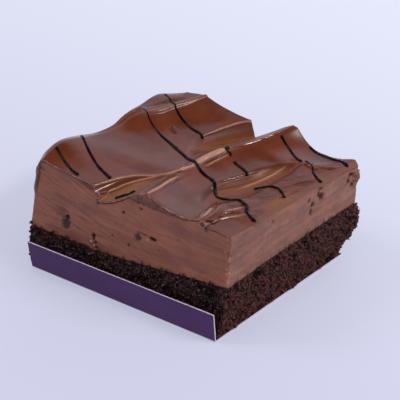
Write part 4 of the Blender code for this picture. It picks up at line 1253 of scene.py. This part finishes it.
def mousseFinish(look):
    colors = look["colors"]
    finish = Finish("chocolateMousse")
    fine = finish.noise(finish.place, 2.2, 4.0, 0.6)
    drawn = finish.scaled(finish.place, (0.10, 0.10, 1.6))
    streaks = finish.noise(drawn, 0.9, 4.0, 0.6)
    broad = finish.noise(finish.place, 0.12, 3.0)
    shade = finish.plus(finish.times(streaks, 0.4), finish.times(broad, 0.6))
    color = finish.mix(finish.between(shade, 0.35, 0.65), *colors["mousse"])
    # painted reflection and painted light: the right side is painted greyer, as the lilac sheen that it
    # mirrors, with soft clouds of painted shadow and painted light
    rightSide = finish.mark("rightSide")
    color = finish.mix(finish.times(rightSide, 0.5), color, colors["rightSide"])
    cloudy = finish.noise(finish.scaled(finish.place, (1.0, 0.22, 0.45)), 0.5, 4.0, 0.6)
    shadow = finish.times(rightSide, finish.between(cloudy, 0.50, 0.34, 0.0, 0.6))
    color = finish.mix(shadow, color, colors["rightShadow"])
    lit = finish.times(rightSide, finish.between(cloudy, 0.52, 0.68, 0.0, 0.5))
    color = finish.mix(lit, color, colors["rightLit"])
    # lines that the knife drew: bands of darker and lighter colour, and drawn lines painted darker where
    # they cut in, as painted shade, and lighter where they piled up, as painted light
    bands = finish.mark("band")
    drag = finish.mark("drag")
    for share, tint in (
        (finish.between(bands, -0.2, -0.9, 0.0, 0.5), colors["bands"][0]),
        (finish.between(bands, 0.2, 0.9, 0.0, 0.45), colors["bands"][1]),
        (finish.between(drag, 0.0, -0.8, 0.0, 0.85), colors["drag"][0]),
        (finish.between(drag, 0.05, 0.4, 0.0, 0.35), colors["drag"][1]),
    ):
        color = finish.mix(share, color, tint)
    x, y, z = finish.split(finish.place)
    slanted = finish.plus(z, finish.times(x, 0.30))
    across = finish.plus(x, finish.times(y, 3.0))
    strokes = finish.noise(finish.vector(finish.times(across, 0.08), 0.0, slanted), 1.05, 3.0, 0.6)
    ridged = finish.noise(finish.vector(finish.times(across, 0.07), 7.0, slanted), 1.3, 2.0, 0.5)
    worn = finish.between(x, 5.0, -30.0, 0.12, 0.85)
    color = finish.mix(finish.times(finish.between(strokes, 0.46, 0.34), worn), color, colors["strokes"][0])
    color = finish.mix(finish.between(ridged, 0.56, 0.70, 0.0, 0.35), color, colors["strokes"][1])
    # icing smeared on it, the pale corner (smeared glaze with a painted highlight), holes painted dark as
    # painted shade, lumps, and crumbs at its foot
    color = finish.mix(finish.times(finish.mark("smear"), 0.7), color, colors["smear"])
    color = finish.mix(finish.times(finish.mark("cornerSmearAndHighlight"), 0.75), color, colors["cornerSmearAndHighlight"])
    # painted shade: the holes are painted dark
    pits = finish.mix(rightSide, *colors["pits"])
    color = finish.mix(finish.between(finish.mark("pit"), 0.04, 0.6, 0.0, 0.97), color, pits)
    color = finish.mix(finish.between(finish.mark("speckAndGlint"), 0.2, 0.7, 0.0, 0.8), color, colors["specksAndGlints"])
    color = finish.mix(finish.times(finish.mark("crumby"), 0.85), color, colors["crumby"])
    gloss = finish.between(fine, 0.3, 0.7, *look["roughness"])
    relief = finish.bump(streaks, look["streakRelief"], finish.bump(fine, look["fineRelief"]))
    return finish.set(Base_Color=color, Roughness=gloss, Specular_IOR_Level=0.38, Normal=relief)


makeMousse(mousseLook, mousseFinish(mousseLook))


# Sponge
spongeLook = {
    "bottomSides": (-41.0, 40.2, -39.9, 34.2),
    "topSides": (-44.3, 40.6, -37.4, 39.8),
    "bulges": (0.5, 2.0, 1.6, 1.3),  # front, right, back, left
    "crags": ((6.5, 1.0), (2.8, 0.5)),  # sizes and heights
    "frontHeldIn": 0.45,  # the flap keeps the front from standing out
    "backCorner": 1.5,  # how much further the right side stands out near the back
    # torn-out places: the side's outward direction, the place along it, height, half sizes and depth
    "cavities": (
        ((0, -1), 34.6, 15.2, 2.6, 2.4, 2.6), ((0, -1), 30.6, 16.4, 1.4, 1.2, 1.6),
        ((0, -1), -20.0, 11.0, 2.2, 1.2, 1.6), ((0, -1), 12.0, 13.0, 2.0, 1.3, 1.5),
        ((1, 0), 37.6, 4.6, 1.6, 2.4, 2.4), ((1, 0), 27.0, 2.4, 4.0, 2.6, 2.0),
        ((1, 0), 38.4, 16.4, 1.2, 1.3, 2.2), ((1, 0), -20.0, 17.4, 2.4, 1.0, 1.2),
        ((1, 0), 6.0, 3.0, 2.6, 1.6, 1.4), ((-1, 0), 4.0, 9.0, 2.4, 2.0, 1.6),
    ),
    "spacings": (0.22, 0.22, 0.40, 0.40),  # between points on the front, right, back and left
    "levels": 78,
    "floor": 0.8,
    "lumps": ((2.6, 0.45), (1.2, 0.85), (0.66, 0.60)),  # sizes and heights
    "poreSize": 1.2,
    "poreDepth": 1.3,
    "sideLengths": (83, 76, 83, 76),  # of the front, right, back and left
    "bulgeBlur": 30,  # passes that blend the bulges round the corners
    "cornerPoints": 5,  # points near a corner that turn towards the next side
    "colors": {
        "crumb": ((0.007, 0.0017, 0.0012), (0.185, 0.050, 0.028)),
        "patches": (0.075, 0.026, 0.022),
        "nearTop": (0.065, 0.023, 0.021),
        # the cut front, painted darker: partly its smeared cut crumb and partly painted shade from the flap
        "shadedCutFront": (0.012, 0.0040, 0.0038),
        # painted highlights: lilac glints on the crumbs
        "specksAndGlints": (0.25, 0.135, 0.125),
        # painted shade in the hollows between the crumbs
        "paintedHollowShade": (0.003, 0.0010, 0.0009),
    },
    "roughness": (0.36, 0.62),
    "grainRelief": 0.5,
    "poreRelief": 0.35,
}


def onFront(normals):
    # 1 where the crumb faces the front, which was cut with a knife and is painted darker, partly as the
    # shade of the flap, and 0 on the torn sides
    return smoothstep((-0.3 - normals[..., 1]) / 0.5)


def tornCrumb(points, look):
    return sum(depth * grain(points, width) for width, depth in look["crags"])


def crumbRelief(points, look):
    # rounded lumps with creases between them, and pores torn open
    relief = np.zeros(len(points))
    for size, height in look["lumps"]:
        for i, point in enumerate((points / size).tolist()):
            near, second = noise.voronoi(point)[0][:2]
            relief[i] += height * (0.5 - near - 0.35 * max(0.0, 1 - (second - near) / 0.2))
    for i, point in enumerate((points / look["poreSize"] + 40.0).tolist()):
        hollow = max(0.0, 1 - noise.voronoi(point)[0][0] / 0.36)
        relief[i] -= look["poreDepth"] * hollow ** 0.6
    return relief


def makeSponge(look, material):
    runs, normals = [], []
    directions = np.array(list(outward.values()), dtype=float)
    corners = np.array(((0, 0), (1, 0), (1, 1), (0, 1), (0, 0)), dtype=float)
    for k in range(4):
        count = round(look["sideLengths"][k] / look["spacings"][k])
        t = (np.arange(count) / count)[:, None]
        runs.append(corners[k] + (corners[k + 1] - corners[k]) * t)
        turned = np.repeat(directions[k: k + 1], count, axis=0)
        for i in range(look["cornerPoints"]):
            share = 0.5 * (1 - i / look["cornerPoints"])
            turned[i] = directions[k] * (1 - share) + directions[k - 1] * share
            turned[-1 - i] = directions[k] * (1 - share) + directions[(k + 1) % 4] * share
        normals.append(turned)
    counts = [len(run) for run in runs]
    ring = np.concatenate(runs)
    normal = np.concatenate(normals)
    normal /= np.linalg.norm(normal, axis=1, keepdims=True)
    levels = np.linspace(0, 1, look["levels"] + 1)
    bulges = np.repeat(look["bulges"], counts)
    for _ in range(look["bulgeBlur"]):
        bulges = (np.roll(bulges, 1) + bulges + np.roll(bulges, -1)) / 3
    wall, paintedHollowShade = [], []
    for up in levels:
        left, right, front, back = (a + (b - a) * up for a, b in zip(look["bottomSides"], look["topSides"]))
        x = left + (right - left) * ring[:, 0]
        y = front + (back - front) * ring[:, 1]
        z = look["floor"] + (spongeTopHeight(x, y) - look["floor"]) * up
        place = np.stack([x, y, z], axis=1)
        held = 1 - (1 - look["frontHeldIn"]) * (normal[:, 1] < -0.75)
        crags = place.copy()
        crags[:, 2] = 20 * up
        crumbs = crumbRelief(place, look)
        # it stands out less right under the mousse
        tucked = 0.3 + 0.7 * smoothstep((1 - up) / 0.10)
        reach = bulges * math.sin(math.pi * up ** 2.4) + (tornCrumb(crags, look) + crumbs) * tucked
        backCorner = smoothstep((y - 4) / 30) * np.maximum(normal[:, 0], 0) * math.sin(math.pi * up ** 1.8)
        reach = reach + look["backCorner"] * backCorner
        for side, along, height, halfAlong, halfUp, depth in look["cavities"]:
            facing = normal[:, :2] @ np.array(side) > 0.8
            spot = x if side[0] == 0 else y
            away = np.hypot((spot - along) / halfAlong, (z - height) / halfUp) * (1 + 0.25 * crumbs)
            bowl = facing * smoothstep(1.4 * (1 - away))
            reach = reach - depth * bowl
            crumbs = crumbs - 0.7 * bowl
        # the hollows between the crumbs are marked to be painted dark, as painted shade
        paintedHollowShade.append(np.clip((0.05 - crumbs) / 1.1, 0, 1))
        place += normal * (reach * held * (1 if up > 0.01 else 0))[:, None]
        lumpy = grain(place, 1.1, 21.0) * 0.25 * math.sin(math.pi * min(1.0, up * 1.02))
        place[:, 2] += lumpy
        place[:, 2] = np.clip(place[:, 2], look["floor"], spongeTopHeight(place[:, 0], place[:, 1]))
        wall.append(place)
    wall = np.array(wall)
    wallIds = gridIds(wall)
    points = [wall.reshape(-1, 3)]
    made = wallIds.size
    faces = gridFaces(ringIds(wallIds))
    runStarts = np.cumsum([0] + counts)
    for level, upward in ((-1, True), (0, False)):
        loop = ringIds(wallIds)[level]
        sides = look["topSides"] if upward else look["bottomSides"]
        xs = np.linspace(sides[0] + 3, sides[1] - 3, 40)
        ys = np.linspace(sides[2] + 3, sides[3] - 3, 36)
        gx, gy = np.meshgrid(xs, ys)
        gz = spongeTopHeight(gx, gy) if upward else np.full(gx.shape, look["floor"])
        sheet = np.stack([gx, gy, gz], axis=-1)
        faces += coverSheet(loop, runStarts, sheet, made, upward)
        points.append(sheet.reshape(-1, 3))
        made += gx.size
    hidden = np.zeros(made - wallIds.size)
    marks = {
        "hollow": np.concatenate([*paintedHollowShade, hidden]),
        "shadedCutFace": np.concatenate([np.tile(onFront(normal), len(levels)), hidden]),
    }
    addPiece("spongeCrumb", np.concatenate(points), faces, [material], "sponge", marks)
    return wall, normal


def spongeFinish(look):
    colors = look["colors"]
    finish = Finish("chocolateSponge")
    fine = finish.noise(finish.place, 1.45, 5.0, 0.8)
    pores = finish.cells(finish.place, 1.7)
    broad = finish.noise(finish.place, 0.16, 3.0)
    height = finish.split(finish.place)[2]
    shadedCutFace = finish.mark("shadedCutFace")
    color = finish.mix(finish.between(fine, 0.40, 0.62), *colors["crumb"])
    color = finish.mix(finish.between(broad, 0.42, 0.62, 0.0, 0.35), color, colors["patches"])
    color = finish.mix(finish.between(height, 7.0, 17.0, 0.0, 0.3), color, colors["nearTop"])
    # the cut front is painted darker, partly as painted shade from the flap
    color = finish.mix(finish.times(shadedCutFace, 0.72), color, colors["shadedCutFront"])
    # painted highlights: lilac glints on the crumbs, more of them on the cut front
    speckAndGlint = finish.between(finish.noise(finish.place, 1.7, 4.0, 0.75), 0.545, 0.61)
    speckAndGlint = finish.times(speckAndGlint, finish.between(shadedCutFace, 0.0, 1.0, 0.25, 0.9))
    color = finish.mix(speckAndGlint, color, colors["specksAndGlints"])
    # painted shade: the hollows are painted nearly black
    hollow = finish.between(finish.mark("hollow"), 0.12, 0.55, 0.0, 0.98)
    color = finish.mix(hollow, color, colors["paintedHollowShade"])
    gloss = finish.between(fine, 0.3, 0.7, *look["roughness"])
    relief = finish.bump(fine, look["grainRelief"], finish.bump(pores, look["poreRelief"]))
    return finish.set(Base_Color=color, Roughness=gloss, Specular_IOR_Level=0.16, Normal=relief)


spongeMaterial = spongeFinish(spongeLook)
spongeWall, spongeNormals = makeSponge(spongeLook, spongeMaterial)


# Card
cardLook = {
    "width": 80.0,
    "front": -41.0,
    "thickness": 0.5,
    "flapHeight": 11.0,
    "leans": (2.4, 1.5),  # how far the flap's top stands forward, at the left and the right
    "foldRadius": 0.7,
    "columns": 80,
    "platePoints": 14,
    "foldPoints": 7,
    "flapPoints": 12,
    "roughness": (0.42, 0.56),
    "purple": ((0.044, 0.010, 0.070), (0.056, 0.014, 0.086)),
    "cutEdge": ((0.42, 0.33, 0.42), (0.62, 0.52, 0.60)),
}


def makeCard(look, purple, paper):
    across = np.linspace(-look["width"] / 2, look["width"] / 2, look["columns"] + 1)
    sheets = []
    for x in across:
        lean = stretch(x, (across[0], across[-1]), look["leans"])
        slope = math.atan2(lean, look["flapHeight"])
        radius = look["foldRadius"]
        turn = np.linspace(0, math.pi / 2 - slope, look["foldPoints"])
        foldEnd = math.tan((math.pi / 2 - slope) / 2) * radius
        plate = np.linspace(cardBack, look["front"] + foldEnd + 0.8, look["platePoints"])
        path = [(y, 0.0) for y in plate]
        centre = (look["front"] + foldEnd, radius)
        path += [(centre[0] - radius * math.sin(a), centre[1] - radius * math.cos(a)) for a in turn]
        flapTop = (look["front"] - lean, look["flapHeight"])
        start = path[-1]
        upFlap = np.linspace(0, 1, look["flapPoints"] + 1)[1:]
        path += [tuple(np.array(start) + (np.array(flapTop) - start) * t) for t in upFlap]
        path = np.array(path)
        tangent = np.gradient(path, axis=0)
        tangent /= np.linalg.norm(tangent, axis=1, keepdims=True)
        inward = np.stack([tangent[:, 1], -tangent[:, 0]], axis=1)
        wave = 0.06 * noise.noise((x / 14, 0.3, 0.0)) * np.clip(path[:, 1] / look["flapHeight"], 0, 1)
        outer = np.stack([np.full(len(path), x), path[:, 0] + wave, path[:, 1]], axis=1)
        offset = inward * look["thickness"]
        inner = outer + np.stack([np.zeros(len(path)), offset[:, 0], offset[:, 1]], axis=1)
        sheets.append((outer, inner))
    outer = np.array([s[0] for s in sheets])
    inner = np.array([s[1] for s in sheets])
    inner[:, :look["platePoints"], 2] = look["thickness"]
    ids = gridIds(outer)
    innerIds = ids + ids.size
    faces = gridFaces(ids) + gridFaces(innerIds[:, ::-1])
    purpleCount = len(faces)
    for outerRun, innerRun in zip(gridSides(ids), gridSides(innerIds)):
        faces += gridFaces(np.array([innerRun, outerRun]))
    faceMaterials = [0] * purpleCount + [1] * (len(faces) - purpleCount)
    points = np.concatenate([outer.reshape(-1, 3), inner.reshape(-1, 3)])
    piece = addPiece("foldedCard", points, faces, [purple, paper], "card", None, faceMaterials)
    piece.data.set_sharp_from_angle(angle=math.radians(40))


def cardFinish(look):
    finish = Finish("purpleCard")
    weave = finish.noise(finish.place, 1.8, 4.0, 0.6)
    broad = finish.noise(finish.place, 0.06, 2.0)
    color = finish.mix(finish.between(broad, 0.3, 0.7), *look["purple"])
    gloss = finish.between(weave, 0.3, 0.7, *look["roughness"])
    relief = finish.bump(weave, 0.02)
    return finish.set(Base_Color=color, Roughness=gloss, Specular_IOR_Level=0.28, Normal=relief)


def paperFinish(look):
    finish = Finish("cardEdge")
    fibre = finish.noise(finish.place, 2.4, 4.0, 0.6)
    color = finish.mix(finish.between(fibre, 0.3, 0.7), *look["cutEdge"])
    return finish.set(Base_Color=color, Roughness=0.8, Normal=finish.bump(fibre, 0.05))


makeCard(cardLook, cardFinish(cardLook), paperFinish(cardLook))


# Loose crumbs on the sponge's torn sides, along its top edge, and flakes that stand out
crumbLook = {
    "onSides": 1300,
    "alongTop": 1000,
    "flakes": 100,
    "sizes": (0.35, 1.7),
    "seed": 12,
}


def makeCrumbs(look, material):
    random = np.random.default_rng(look["seed"])
    ball = bmesh.new()
    bmesh.ops.create_icosphere(ball, subdivisions=2, radius=1.0)
    shape = np.array([v.co for v in ball.verts])
    shapeFaces = np.array([[v.index for v in f.verts] for f in ball.faces])
    ball.free()
    points, faces, cutFaces = [], [], []
    levels, count = spongeWall.shape[:2]
    total = look["onSides"] + look["alongTop"] + look["flakes"]
    for number in range(total):
        place = int(random.integers(0, count))
        level = int(random.integers(2, levels - 2))
        size = look["sizes"][0] + (look["sizes"][1] - look["sizes"][0]) * random.random() ** 3
        squash = random.uniform(0.55, 1.0, 3)
        out = size * 0.12
        rise = 0.0
        if number >= look["onSides"]:
            if number < total - look["flakes"]:
                level = levels - 1
                size *= 0.8
                out = random.uniform(-0.1, 0.5)
                rise = random.uniform(-0.6, 2.2) * random.random()
            else:
                squash = np.array((1.9, 0.45, 0.35)) * random.uniform(0.7, 1.1, 3)
                out = size * 0.5
        turned = shape * (1 + 0.4 * grain(shape, 0.9, number * 3.1)[:, None]) * squash
        turned = turned @ np.linalg.qr(random.normal(size=(3, 3)))[0]
        middle = spongeWall[level, place] + spongeNormals[place] * out + (0, 0, rise)
        points.append(turned * size / 2 + middle)
        points[-1][:, 2] = np.maximum(points[-1][:, 2], spongeLook["floor"])
        faces += (shapeFaces + number * len(shape)).tolist()
        cutFaces.append(np.full(len(shape), onFront(spongeNormals[place])))
    marks = {"shadedCutFace": np.concatenate(cutFaces)}
    addPiece("looseCrumbs", np.concatenate(points), faces, [material], None, marks)


makeCrumbs(crumbLook, spongeMaterial)


# Table, sky and lamps
studioLook = {
    "tableHalf": 6000.0,
    "tableLevel": -0.05,
    "table": (0.60, 0.612, 0.765),
    # painted light: the table is painted paler towards the back
    "paintedLitTableBack": (0.765, 0.79, 0.905),
    "paintedLightDepths": (-90.0, 330.0),  # the depths between which the table grows paler to the back
    "tableShare": 0.42,  # of its colour that comes from the light that falls on it
    "paintedTableGlow": 0.59,  # and from a glow painted into the table itself, which lightens the shadows on it
    # sines of the height over the table, with the light of the backdrop and the ceiling there
    "backdrop": (
        (0.0, (0.70, 0.705, 0.83)), (0.40, (0.74, 0.745, 0.90)), (0.60, (0.72, 0.725, 0.88)),
        (0.72, (0.36, 0.36, 0.43)), (0.82, (0.08, 0.08, 0.09)), (1.0, (0.05, 0.05, 0.055)),
    ),
    "dimLeft": (-0.62, -0.18, 0.62),  # sines to the left between which the backdrop dims, and by how much
    # name: direction from the cake, distance, width and height in mm, power in watts, and whether it
    # is mirrored in glossy things
    "lamps": {
        "right": ((0.78, 0.22, 0.72), 1700, 900, 180, 15.0, True),
        "left": ((-0.66, -0.34, 0.80), 1700, 700, 700, 8.0, True),
        "above": ((0.05, -0.05, 1.0), 2200, 2600, 2600, 15.0, False),
    },
    "lampColor": (1.0, 0.985, 1.0),
}


def makeStudio(look):
    half = look["tableHalf"]
    mesh = bpy.data.meshes.new("table")
    quarters = ((-1, -1), (1, -1), (1, 1), (-1, 1))
    corners = np.array([(x * half, y * half, look["tableLevel"]) for x, y in quarters])
    mesh.from_pydata((corners * mm).tolist(), [], [(0, 1, 2, 3)])
    finish = Finish("paleTable")
    cloud = finish.noise(finish.place, 0.004, 2.0)
    # painted light: paler towards the back
    toBack = finish.plus(finish.times(cloud, 40.0), finish.split(finish.place)[1])
    color = finish.mix(finish.between(toBack, *look["paintedLightDepths"]), look["table"], look["paintedLitTableBack"])
    finish.set(Base_Color=finish.mix(look["tableShare"], (0.0, 0.0, 0.0), color), Roughness=0.6)
    # painted light: the table glows of itself
    mesh.materials.append(finish.set(Emission_Color=color, Emission_Strength=look["paintedTableGlow"]))
    table = bpy.data.objects.new("table", mesh)
    bpy.context.scene.collection.objects.link(table)
    world = bpy.data.worlds.new("studio")
    world.use_nodes = True
    tree = world.node_tree
    place = tree.nodes.new("ShaderNodeTexCoord")
    split = tree.nodes.new("ShaderNodeSeparateXYZ")
    tree.links.new(place.outputs["Generated"], split.inputs["Vector"])
    ramp = tree.nodes.new("ShaderNodeValToRGB")
    ramp.color_ramp.interpolation = "EASE"
    stops = ramp.color_ramp.elements
    while len(stops) < len(look["backdrop"]):
        stops.new(0.5)
    for stop, (height, color) in zip(stops, look["backdrop"]):
        stop.position = height
        stop.color = (*color, 1.0)
    tree.links.new(split.outputs["Z"], ramp.inputs["Fac"])
    side = tree.nodes.new("ShaderNodeMapRange")
    side.interpolation_type = "SMOOTHSTEP"
    tree.links.new(split.outputs["X"], side.inputs["Value"])
    for key, number in zip(("From Min", "From Max", "To Min"), look["dimLeft"]):
        side.inputs[key].default_value = number
    tree.links.new(ramp.outputs["Color"], tree.nodes["Background"].inputs["Color"])
    tree.links.new(side.outputs["Result"], tree.nodes["Background"].inputs["Strength"])
    bpy.context.scene.world = world
    for name, (direction, distance, width, height, power, mirrored) in look["lamps"].items():
        light = bpy.data.lights.new(name, "AREA")
        light.shape = "ELLIPSE"
        light.size = width * mm
        light.size_y = height * mm
        light.energy = power
        light.color = look["lampColor"]
        lamp = bpy.data.objects.new(name, light)
        lamp.visible_glossy = mirrored
        bpy.context.scene.collection.objects.link(lamp)
        lamp.location = Vector(direction).normalized() * distance * mm
        lamp.rotation_euler = (Vector((0, 0, 0.03)) - lamp.location).to_track_quat("-Z", "Y").to_euler()
    bpy.context.scene.view_settings.view_transform = "Standard"
    print("studio made: a table, a backdrop and", len(look["lamps"]), "lamps")


makeStudio(studioLook)
